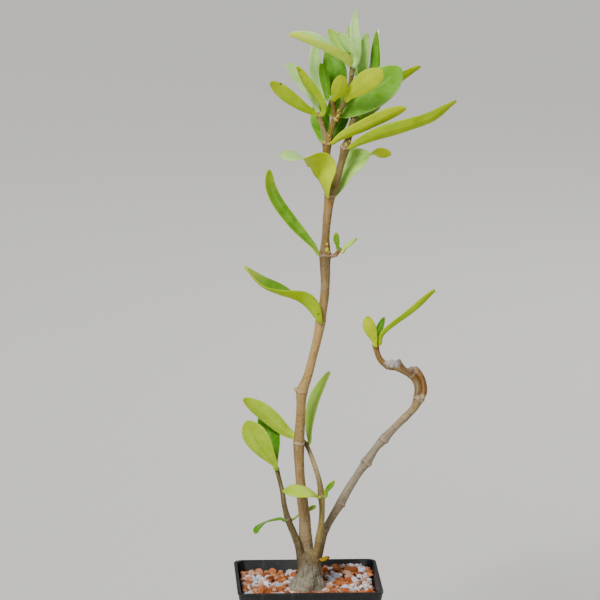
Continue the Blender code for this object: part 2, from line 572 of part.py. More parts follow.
def build_caudex():
    """The swollen woody base: a turned body with root ribs, and a flat stub under each stem."""
    bm = bmesh.new()
    profile = [bm.verts.new((radius * MM, 0, height * MM)) for height, radius in CAUDEX_PROFILE]
    edges = [bm.edges.new(pair) for pair in zip(profile, profile[1:])]
    bmesh.ops.spin(
        bm, geom=profile + edges, cent=(0, 0, 0), axis=(0, 0, 1), angle=math.tau,
        steps=CAUDEX_SIDES, use_merge=True, use_duplicate=False,
    )
    bmesh.ops.remove_doubles(bm, verts=bm.verts, dist=MERGED_WITHIN * MM)
    bmesh.ops.holes_fill(bm, edges=[edge for edge in bm.edges if edge.is_boundary])
    for corner in bm.verts:
        angle = math.atan2(corner.co.y, corner.co.x)
        height = corner.co.z / MM
        grown = max(0.0, min(1.0, (height - RIB_START) / RIB_REACH))
        rib = 1.0 - grown * RIB_DEPTH * (0.5 - 0.5 * math.cos(ROOT_RIBS * angle + RIB_TURN))
        corner.co.x *= rib
        corner.co.y *= rib
    bmesh.ops.translate(bm, verts=bm.verts, vec=Vector((*CAUDEX_AXIS, 0)) * MM)
    bark = make_material("caudex bark", (0.25, 0.22, 0.15), 0.8)
    body = add_object("caudex_body", mesh_from(bm, "caudex_body"))
    stubs = []
    for branch in STUBS:
        points = BRANCHES[branch]
        end, _, diameter = stub_end(points)
        stubs.append(build_tube(branch + "_stub", [points[0], points[1], (*end, diameter)], THICK_SIDES))
    join_all("caudex", body, stubs, bark)


def leaf_socket(branch, number, towards):
    """Where a leaf that heads towards a point is seated, one gap off the branch's side, and its way out."""
    points = BRANCHES[branch]
    centre = Vector(points[number][:3])
    last = Vector(points[min(number + 1, len(points) - 1)][:3])
    first = Vector(points[max(number - 1, 0)][:3])
    axis = (last - first).normalized()
    heading = (Vector(towards) - centre).normalized()
    lean = heading.dot(axis)
    outward = (heading - axis * lean).normalized()
    return centre + outward * (points[number][3] / 2 + GAP + abs(lean) * LEAF_THICKNESS / 2), outward


def blend_faces(faces, t):
    """The direction of the upper face at a share t of the leaf's length."""
    if len(faces) == 1:
        return Vector(faces[0])
    place = t * (len(faces) - 1)
    start = min(int(place), len(faces) - 2)
    return Vector(faces[start]).lerp(Vector(faces[start + 1]), place - start)


def half_width(leaf, t):
    """Half the blade's width at a share t of its length: a slim stalk, then the blade, then a blunt tip."""
    widest, bluntness = leaf.full
    swell = math.sin(math.pi * min(1.0, t) ** widest) ** bluntness if 0 < t < 1 else 0.0
    least = min(STALK_WIDTH, leaf.width * STALK_SHARE) if t < 0.5 else TIP_WIDTH
    return max(leaf.width * swell, least) / 2


def build_leaf(leaf, material):
    """A thin blade on a curved midrib, with both faces split into the same triangles."""
    seat, outward = leaf_socket(leaf.branch, leaf.point, leaf.route[0])
    line = [seat, *spline_points([seat + outward * STALK_START, *leaf.route], CURVE_STEPS)]
    lengths = [0.0]
    for before, after in zip(line, line[1:]):
        lengths.append(lengths[-1] + (after - before).length)
    along_cells, across_cells = LONG_CELLS if lengths[-1] > LONG_LEAF else SHORT_CELLS

    bm = bmesh.new()
    bmesh.ops.create_grid(bm, x_segments=along_cells, y_segments=across_cells, size=1.0)
    for corner in bm.verts:
        t = math.sin(math.pi / 2 * (corner.co.x + 1) / 2)
        side = corner.co.y
        wanted = t * lengths[-1]
        step = max(1, next((i for i, reach in enumerate(lengths) if reach >= wanted), len(line) - 1))
        share = (wanted - lengths[step - 1]) / (lengths[step] - lengths[step - 1])
        centre = line[step - 1].lerp(line[step], min(1.0, share))
        along = (line[min(step + 1, len(line) - 1)] - line[max(step - 2, 0)]).normalized()
        upper = blend_faces(leaf.faces, t)
        upper = (upper - along * upper.dot(along)).normalized()
        across = along.cross(upper)
        reach = half_width(leaf, t)
        corner.co = (centre + across * side * reach + upper * leaf.cup * side * side * reach) * MM
    bmesh.ops.triangulate(bm, faces=bm.faces, quad_method="ALTERNATE")
    mesh = mesh_from(bm, leaf.name)
    mesh.shade_smooth()
    blade = add_object(leaf.name, mesh, material)
    wall = blade.modifiers.new("blade thickness", "SOLIDIFY")
    wall.thickness = LEAF_THICKNESS * MM
    wall.offset = 0.0
    return blade


def build_bud(material):
    bm = bmesh.new()
    bmesh.ops.create_icosphere(bm, subdivisions=1, radius=MM)
    bmesh.ops.scale(bm, verts=bm.verts, vec=BUD_SIZE)
    bmesh.ops.translate(bm, verts=bm.verts, vec=Vector(BUD_CENTRE) * MM)
    add_object("bud_middle", mesh_from(bm, "bud_middle"), material)


def build_stems():
    bark = make_material("tan stem bark", (0.33, 0.23, 0.12), 0.7)
    grey_bark = make_material("grey stem bark", (0.36, 0.29, 0.20), 0.75)
    for name, branches in STEMS.items():
        build_stem(name, branches, grey_bark if name == "stem_hooked" else bark)
    start, *rest = BRANCHES["shoot"]
    seat, _ = leaf_socket("main", 19, rest[0][:3])
    shoot = build_tube("shoot_middle", [(*seat, start[3]), *rest], THIN_SIDES)
    shoot.data.materials.append(bark)


def build_leaves():
    green = make_material("leathery leaf, upper face", (0.14, 0.33, 0.05), 0.4)
    yellow = make_material("leathery leaf, underside", (0.42, 0.50, 0.03), 0.5)
    for leaf in LEAVES:
        shows_back = Vector(leaf.faces[0]).y > 0
        build_leaf(leaf, yellow if shows_back else green)
    build_bud(yellow)


def main():
    for piece in list(bpy.data.objects):
        bpy.data.objects.remove(piece, do_unlink=True)
    build_pot()
    build_grit()
    build_caudex()
    build_stems()
    build_leaves()


if __name__ == "__main__":
    main()
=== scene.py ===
"""Potted ant plant: its pot, grit, bark, leaves and buds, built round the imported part.

Laid out as an add-on and run as a script. The frame is in metres, +Z up, with the plant's front towards -Y.
Sizes in the lists are millimetres, and MM turns them to metres.
"""

import math
import random
from collections import namedtuple

import bmesh
import bpy
import numpy as np
from bpy.props import FloatProperty, FloatVectorProperty, IntProperty, PointerProperty
from mathutils import Matrix, Vector, noise


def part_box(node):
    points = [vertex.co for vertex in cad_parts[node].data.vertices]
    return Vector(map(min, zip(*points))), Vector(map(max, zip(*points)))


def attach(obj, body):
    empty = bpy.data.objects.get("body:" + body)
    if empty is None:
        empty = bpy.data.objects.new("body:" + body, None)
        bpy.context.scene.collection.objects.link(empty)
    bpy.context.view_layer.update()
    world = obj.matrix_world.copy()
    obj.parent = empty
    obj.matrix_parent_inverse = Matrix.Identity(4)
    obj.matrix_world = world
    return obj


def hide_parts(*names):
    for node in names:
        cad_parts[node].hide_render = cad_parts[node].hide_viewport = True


bl_info = {
    "name": "Potted ant plant",
    "version": (1, 0, 0),
    "blender": (4, 5, 0),
    "location": "3D View > Sidebar > Plant",
    "description": "Builds a potted ant plant: square pot, grit, woody base, stems and leaves",
    "category": "Add Mesh",
}

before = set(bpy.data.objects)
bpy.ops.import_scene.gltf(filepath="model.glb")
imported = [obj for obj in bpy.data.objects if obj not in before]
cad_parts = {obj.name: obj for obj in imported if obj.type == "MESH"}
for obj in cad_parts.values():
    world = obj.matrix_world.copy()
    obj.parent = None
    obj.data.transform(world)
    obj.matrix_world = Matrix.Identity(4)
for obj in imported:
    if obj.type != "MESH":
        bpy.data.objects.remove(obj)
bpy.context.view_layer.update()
MM = 0.001


def linear(code, alpha=1.0):
    """An sRGB hex code as linear red, green, blue and alpha."""
    parts = [int(code[place:place + 2], 16) / 255 for place in (1, 3, 5)]
    return (*(part / 12.92 if part <= 0.04045 else ((part + 0.055) / 1.055) ** 2.4 for part in parts), alpha)


def colour_setting(name, code, description):
    return FloatVectorProperty(
        name=name, description=description, subtype="COLOR", size=4, min=0.0, max=1.0, default=linear(code),
    )


def length_setting(name, millimetres, description):
    return FloatProperty(
        name=name, description=description, unit="LENGTH", precision=5, min=0.0, default=millimetres * MM,
    )


# Pot: the outer half widths of its square walls, the heights where they apply, and how its edges are eased.
POT_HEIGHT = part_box("pot")[1].z / MM
FOOT_HALF = 29.0
TAPER_HALF = 39.2
BAND_HALF = 39.6
LIP_HALF = 40.0
BAND_HEIGHT = 66.0
BAND_STEP = 0.8
LIP_DROP = 1.6
LIP_UNDERCUT = 0.4
RIM_SLOPE = 0.2
FOOT_EASE = 1.0
EDGE_EASE = 0.3
FLOOR = 1.6
POT_CORNER = 3.6
CORNER_STEPS = 8
POT_EDGE_ANGLE = math.radians(28)
DRAIN_RADIUS = 3.5
DRAIN_OFFSET = 17.0
DRAIN_SIDES = 40

# Grit: its level, the mound at the back right, the bed of fines below, darkened as painted shade in the gaps
# between grains, and the patches where pale grains lie together, with the share of pale grains in them and
# elsewhere.
GRIT_LEVEL = 70.0
MOUND_AT = (24.0, 26.0)
MOUND_REACH = 15.0
MOUND_HEIGHT = 4.6
BED_LEVEL = 60.0
BED_INSET = 1.25
BED_LIFT = 0.2
PALE_PATCHES = [
    (-24.0, 18.0, 6.5), (-19.0, 2.0, 6.0), (-33.0, -18.0, 6.0), (-22.0, -28.0, 5.0), (29.0, 27.0, 8.5),
    (33.0, 12.0, 5.5), (12.0, 12.0, 4.5), (27.0, -26.0, 8.0), (33.0, -6.0, 5.0), (-8.0, 31.0, 5.0),
    (9.0, -31.0, 4.0), (-10.0, -29.0, 4.0),
]
PALE_IN_PATCH = 0.64
PALE_ELSEWHERE = 0.2

# Falling grains: how often and how far each one rolls, how deep the narrowing walls still hold them in, and
# how near they come to the walls, the caudex, the bed, one another and the surface, as shares of a radius.
ROLLS = 16
ROLL_REACH = 1.6
SMALL_BIAS = 1.2
WALL_DEPTH = 3.0
WALL_GAP = 1.3
WALL_SHARE = 0.9
CAUDEX_SHARE = 0.6
BED_SHARE = 0.6
TOUCH_SHARE = 0.84
TOP_SHARE = 0.35

# Each grain: the points thrown for it, its tilt, its stretch three ways, how far its points stand out, the
# angle from which its edges stay sharp, and how rare its dark, dusty and stained tones are.
GRAIN_CORNERS = 18
GRAIN_TILT = 0.7
GRAIN_STRETCH = ((1.0, 1.35), (0.85, 1.05), (0.75, 1.0))
GRAIN_REACH = (0.98, 1.12)
GRAIN_EDGE_ANGLE = math.radians(32)
TONE_BIAS = (2.0, 2.5, 1.0)

# Caudex: (height, radius) down its side, its lean, and its root ribs, which show just above the grit.
CAUDEX_AXIS = (-1.2, -3.0)
CAUDEX_LEAN = 1.9
LEAN_RISE = 9.0
CAUDEX_PROFILE = [
    (90.5, 2.6), (88.5, 4.6), (85.5, 5.7), (82.0, 6.2), (79.0, 6.4), (76.5, 7.1), (74.3, 8.6),
    (72.0, 10.2), (69.5, 11.2), (66.0, 11.4), (62.0, 10.6), (59.0, 8.5), (57.5, 4.0),
]
CAUDEX_STEPS = 4
CAUDEX_SIDES = 72
CAUDEX_CLEAR = 10.4
CAUDEX_BUMPS = 0.07
BUMP_SCALE = 1.4
BUMP_RISE = 0.08
MERGE_GAP = 0.01
ROOT_RIBS = 5
RIB_DEPTH = 0.2
RIB_TURN = 0.8
RIBS_GROW = (GRIT_LEVEL - 4.0, GRIT_LEVEL + 2.0)
RIBS_FADE = (GRIT_LEVEL + 5.0, GRIT_LEVEL + 10.0)
BASE_TOP = GRIT_LEVEL + 4.0

# Each branch runs through points of x, y, z and diameter.
BRANCHES = {
    "main": [
        (0.2, -1, 76, 11.8), (-0.4, 0, 85, 9.8), (-1.0, 0, 91, 8.2), (-1.3, 0, 98.5, 7.3),
        (-1.9, 0, 109.5, 6.4), (-2.9, 0, 118, 6.0), (-4.1, 0, 129.5, 5.4), (-4.8, 0, 141, 5.5),
        (-4.9, 0, 150.5, 6.1), (-4.3, 0, 160.5, 5.5), (-3.7, 0, 172, 5.3), (-3.2, 0, 179.5, 6.1),
        (-0.4, 0, 187, 5.1), (2.1, 0, 196, 4.8), (5, 0, 208, 5.0), (7.1, 0, 218.5, 5.5),
        (8.2, 0, 225.5, 5.1), (9.2, 0, 233.5, 5.1), (9.6, 0, 242, 5.3), (9.4, 0, 255.5, 6.1),
        (9.7, 0, 264, 4.6), (10.2, 0, 272, 4.6), (11, 0, 280.5, 5.0), (12.1, 0, 288.5, 5.8),
    ],
    "fork_left": [
        (12, 0, 287.3, 5.2), (11.7, 1.5, 292.5, 4.4), (10.9, 2.5, 301, 4.4), (10.4, 3, 310.5, 4.4),
        (10.6, 3, 317, 5.2),
    ],
    "twig_left": [(10.5, 3, 315, 3.8), (9.2, 3, 322, 2.9), (7.6, 3, 327.5, 2.9), (6.2, 3, 332.5, 3.3)],
    "twig_right": [(10.5, 3, 315, 3.8), (12.5, 2, 322.5, 3.3), (13.8, 1, 328, 3.3), (14.8, 0, 331.5, 3.7)],
    "twig_inner": [(14.5, 0.2, 330, 2.8), (13.9, -1, 336, 2.3), (13.1, -1, 341.5, 2.7)],
    "twig_top": [
        (14.4, -0.2, 330.5, 2.6), (17.5, 0, 335.5, 2.8), (20.5, 0, 341, 3.3), (21.6, 0, 344, 2.3),
        (23, 0, 349.5, 2.3), (23.8, 0, 355, 2.6), (24.3, 0, 359.5, 3.0),
    ],
    "fork_right": [
        (11.8, 0, 287.5, 5.0), (15.1, 0, 294, 4.0), (17, 0, 301.5, 4.0), (18.7, 0, 308, 4.0),
        (20.3, 0, 314.5, 5.0), (22.6, 2, 320.5, 3.5), (24.3, 4, 327, 3.7), (26.1, 6, 332, 3.3),
        (28.5, 7, 337, 2.8), (30, 9, 342.5, 3.0),
    ],
    "left": [
        (-2.2, -3, 77, 5.8), (-3.8, -4.2, 85.5, 5.0), (-5.2, -4.2, 92.5, 4.4), (-8.0, -3.5, 100.5, 3.9),
        (-11.1, -2.5, 108, 3.6), (-13, -2, 115.5, 3.1), (-14.1, -2, 123, 2.8), (-15.7, -2, 130, 2.6),
        (-17.2, -2, 136.5, 2.8),
    ],
    "middle": [
        (2.0, -2.5, 78, 5.0), (4.4, -3.4, 86, 4.4), (5.9, -5, 96.5, 4.4), (7.1, -6, 105.5, 3.6),
        (7.6, -6, 114, 3.3), (7.3, -5, 121, 3.8), (6.3, -2, 129, 3.1), (3.8, 2, 137.5, 2.8),
        (1.2, 5, 144.5, 2.5), (-0.6, 7, 148, 2.6), (-3.3, 9, 151, 2.5),
    ],
    "hooked": [
        (3.0, 0, 76, 6.0), (5.6, 3.6, 84, 5.0), (7.9, 5, 93, 4.5), (9.8, 6, 99.5, 4.3),
        (13.2, 6, 106, 4.2), (18.5, 6, 114.8, 5.0), (23.2, 6, 123.5, 4.6), (28.9, 6, 132.5, 4.2),
        (32.7, 6, 138, 5.5), (37.6, 6, 145.4, 4.1), (42.3, 6, 150.8, 5.1), (48, 5, 157.3, 4.1),
        (53.8, 5, 163.1, 4.2), (58.9, 5, 168.5, 4.4), (61.6, 4, 174.2, 5.8),
    ],
    "hook_inner": [
        (60.6, 4, 173.2, 4.3), (60.9, 3.2, 177.5, 3.9), (60.6, 3, 182, 3.9), (58.2, 3, 186.5, 3.8),
        (53.8, 3, 189.5, 3.6), (48.8, 3, 192, 4.0), (44.4, 3, 193, 4.2), (40.8, 3, 195.5, 3.4),
        (38.6, 3, 199.5, 3.2), (37.5, 3, 204.5, 3.6),
    ],
    "hook_outer": [
        (60.4, 4, 173.4, 4.2), (63.8, 4, 176.8, 4.1), (64.1, 4.2, 181, 4.1), (62.7, 4.2, 186, 4.1),
        (60.1, 4, 189.5, 4.2),
    ],
    "hook_thin": [
        (62.4, 3, 180.5, 2.6), (60.9, 2.4, 185.2, 2.5), (57.1, 2, 188.8, 2.3), (53.1, 2, 191.9, 2.1),
        (50.3, 2, 195.2, 2.6),
    ],
    "shoot": [(9.4, 0, 255.5, 2.4), (14.2, -1.7, 255.5, 1.9), (17.5, -2, 258.8, 2.2)],
}

# Branches: the steps of their tubes from point to point and how finely these are rounded, the steps of their
# samples, the radius of the ball at their end as a share of the diameter, and how joints are softened.
TUBE_STEPS = 8
TUBE_RESOLUTION = 8
SAMPLE_STEPS = 14
END_SHARE = 0.49
JOINT_SOFTENING = 0.5
JOINT_ROUNDS = 4

# Scar rings: the widths of the line, of the swelling and of the crease below them, the lift or cut of each as
# a share of the ring's height, how far round they reach, and how they sway up and down.
RING_WIDTH = 0.6
SWELLING_WIDTH = 2.0
CREASE_WIDTH = 0.35
CREASE_BELOW = 0.9
RING_LIFT = 0.45
SWELLING_LIFT = 0.55
CREASE_CUT = 0.4
RING_REACH = 1.5
RING_SWAY = 0.3
RING_SWAYS = 3.0

# Bark relief: the frequency across and along the branch, and the height, of its ridges and of its wrinkles.
# It grows with the branch's radius within a range. The shift sets the patterns of the branches apart.
RIDGES = (0.9, 0.10, 0.65)
WRINKLES = (0.35, 1.1, 0.45)
RELIEF_RADIUS = 2.4
RELIEF_RANGE = (0.5, 2.2)
BRANCH_SHIFT = 31.0

# Bark tones: how often they are evened out along the branches and round the knobs, how much of its own tone a
# point keeps each time, how far a knob's tone reaches, and where the foot of the stems has pale streaks,
# partly greyer weathered bark and partly painted highlights.
TONE_ROUNDS = 14
KNOB_ROUNDS = 2
KEPT_TONE = 0.4
KNOB_REACH = 1.6
PALE_FOOT_BELOW = 86.0
PALE_FOOT_FADE = 8.0

# Bark colours along each branch, as a few broad tones at even steps from its first point to its last. Some
# stops are lighter where the stem lies in shade, so they are partly painted light.
BARK = {
    "base": ("#6E6C62", "#767262", "#706A54"),
    "main": ("#706850", "#9A7E54", "#8A6C3C", "#A6864E", "#AC8C56", "#6E5A38", "#9C7840"),
    "fork_left": ("#9A7848", "#8E6C34", "#806624"),
    "twig_left": ("#80683C", "#8C7A50", "#8A6E38"),
    "twig_right": ("#84701E", "#76681C"),
    "twig_inner": ("#6E5818", "#665210"),
    "twig_top": ("#66581C", "#6E6422", "#7E7232"),
    "fork_right": ("#967A48", "#786032", "#6A5E28", "#7A6834"),
    "left": ("#4C4024", "#5A4C2E", "#5C5030", "#605428"),
    "middle": ("#604828", "#7A6634", "#8E7C3E", "#6A5A30", "#9C8A60", "#6C5C30"),
    "hooked": ("#5A4A32", "#8A7A60", "#8A806C", "#8E806A", "#967C54"),
    "hook_inner": ("#80684A", "#80643A", "#74581C", "#86622E"),
    "hook_outer": ("#84560C", "#7A480A", "#88602C"),
    "hook_thin": ("#72500E", "#5C3C08", "#6C5038"),
    "shoot": ("#86643A", "#7A5222"),
}

# Leaf scar rings on each branch: the number of its point, how far the ring stands out, and how pale it is.
RINGS = {
    "main": [(5, 0.3, 0.1), (8, 0.75, 0.7), (11, 0.8, 0.3), (15, 0.5, 0.25), (19, 0.9, 0.4), (23, 1.0, 0.6)],
    "fork_left": [(4, 0.9, 0.4)],
    "fork_right": [(4, 1.0, 0.5), (7, 0.8, 0.4), (9, 0.7, 0.3)],
    "twig_left": [(3, 0.9, 0.5)],
    "twig_right": [(3, 0.9, 0.4)],
    "twig_inner": [(2, 0.6, 0.3)],
    "twig_top": [(2, 0.7, 0.3), (5, 0.6, 0.2), (6, 0.6, 0.3)],
    "left": [(4, 0.6, 0.2)],
    "middle": [(2, 0.3, 0.15), (5, 0.6, 0.3)],
    "hooked": [
        (3, 0.5, 0.3), (5, 0.6, 0.2), (7, 0.4, 0.15), (8, 0.8, 0.3), (10, 0.7, 0.25), (12, 0.5, 0.2),
        (14, 1.0, 0.6),
    ],
    "hook_inner": [(6, 0.7, 0.4), (9, 0.8, 0.3)],
    "hook_outer": [(4, 0.6, 0.3)],
    "shoot": [(2, 0.8, 0.3)],
}

# Knobs, cut ends and callus: x, y, z, radius and bark colour.
KNOBS = [
    (0.5, -11.4, 71.0, 2.6, "#5A4632"), (-6.3, -0.4, 180.6, 1.2, "#A08466"),
    (-1.0, -1.2, 180.0, 0.9, "#9C7E58"), (46.6, 2.0, 194.5, 2.0, "#C2C4CA"),
    (43.6, 2.4, 194.3, 1.5, "#B8B2A6"), (49.0, 2.2, 194.2, 1.6, "#C0BEC0"),
    (45.0, 1.2, 195.3, 1.0, "#CCCCD0"), (47.8, 1.0, 195.6, 0.9, "#C8C4C4"),
    (46.4, 0.6, 193.2, 1.1, "#B6B0A6"), (57.3, 2.6, 191.0, 1.6, "#8C7C78"),
    (59.8, 3.2, 191.0, 1.5, "#9C7C60"), (50.4, 1.8, 195.6, 1.35, "#84706A"),
    (60.6, 1.4, 178.0, 0.8, "#6A4E3C"), (63.6, 2.2, 175.2, 1.4, "#B8AC84"),
    (61.4, 1.9, 174.9, 1.3, "#AA9A74"), (30.9, 4.8, 139.0, 1.2, "#7A6C5C"),
    (34.4, 4.8, 137.0, 1.2, "#706052"), (43.9, 4.9, 149.9, 1.1, "#706054"),
    (40.8, 4.9, 151.7, 1.0, "#86786A"), (19.9, 4.8, 113.9, 1.1, "#74645A"),
    (17.1, 4.8, 115.7, 1.0, "#7A6A5A"), (17.4, 4.0, 110.6, 0.9, "#806C4C"),
    (31.2, 3.9, 134.4, 0.9, "#6C5A3C"), (12.6, -2.1, 288.6, 0.9, "#B8976A"),
]

# Leaves: the branch and the number of its point that each grows from, the free points of its midrib, its
# width, and the way that its upper face looks at even steps from its base to its tip. A cup above 0 raises
# the margins over the midrib. Full sets where the blade is widest and how blunt its tip is. Skins names the
# skin of its upper face and that of its underside.
Leaf = namedtuple(
    "Leaf", "name branch point route width faces cup full skins",
    defaults=(0.15, (1.6, 0.75), ("fresh", "yellow back")),
)
SPOON = (1.75, 0.62)
OVAL = (1.25, 0.6)
HANGING = (6.0, 0.7)

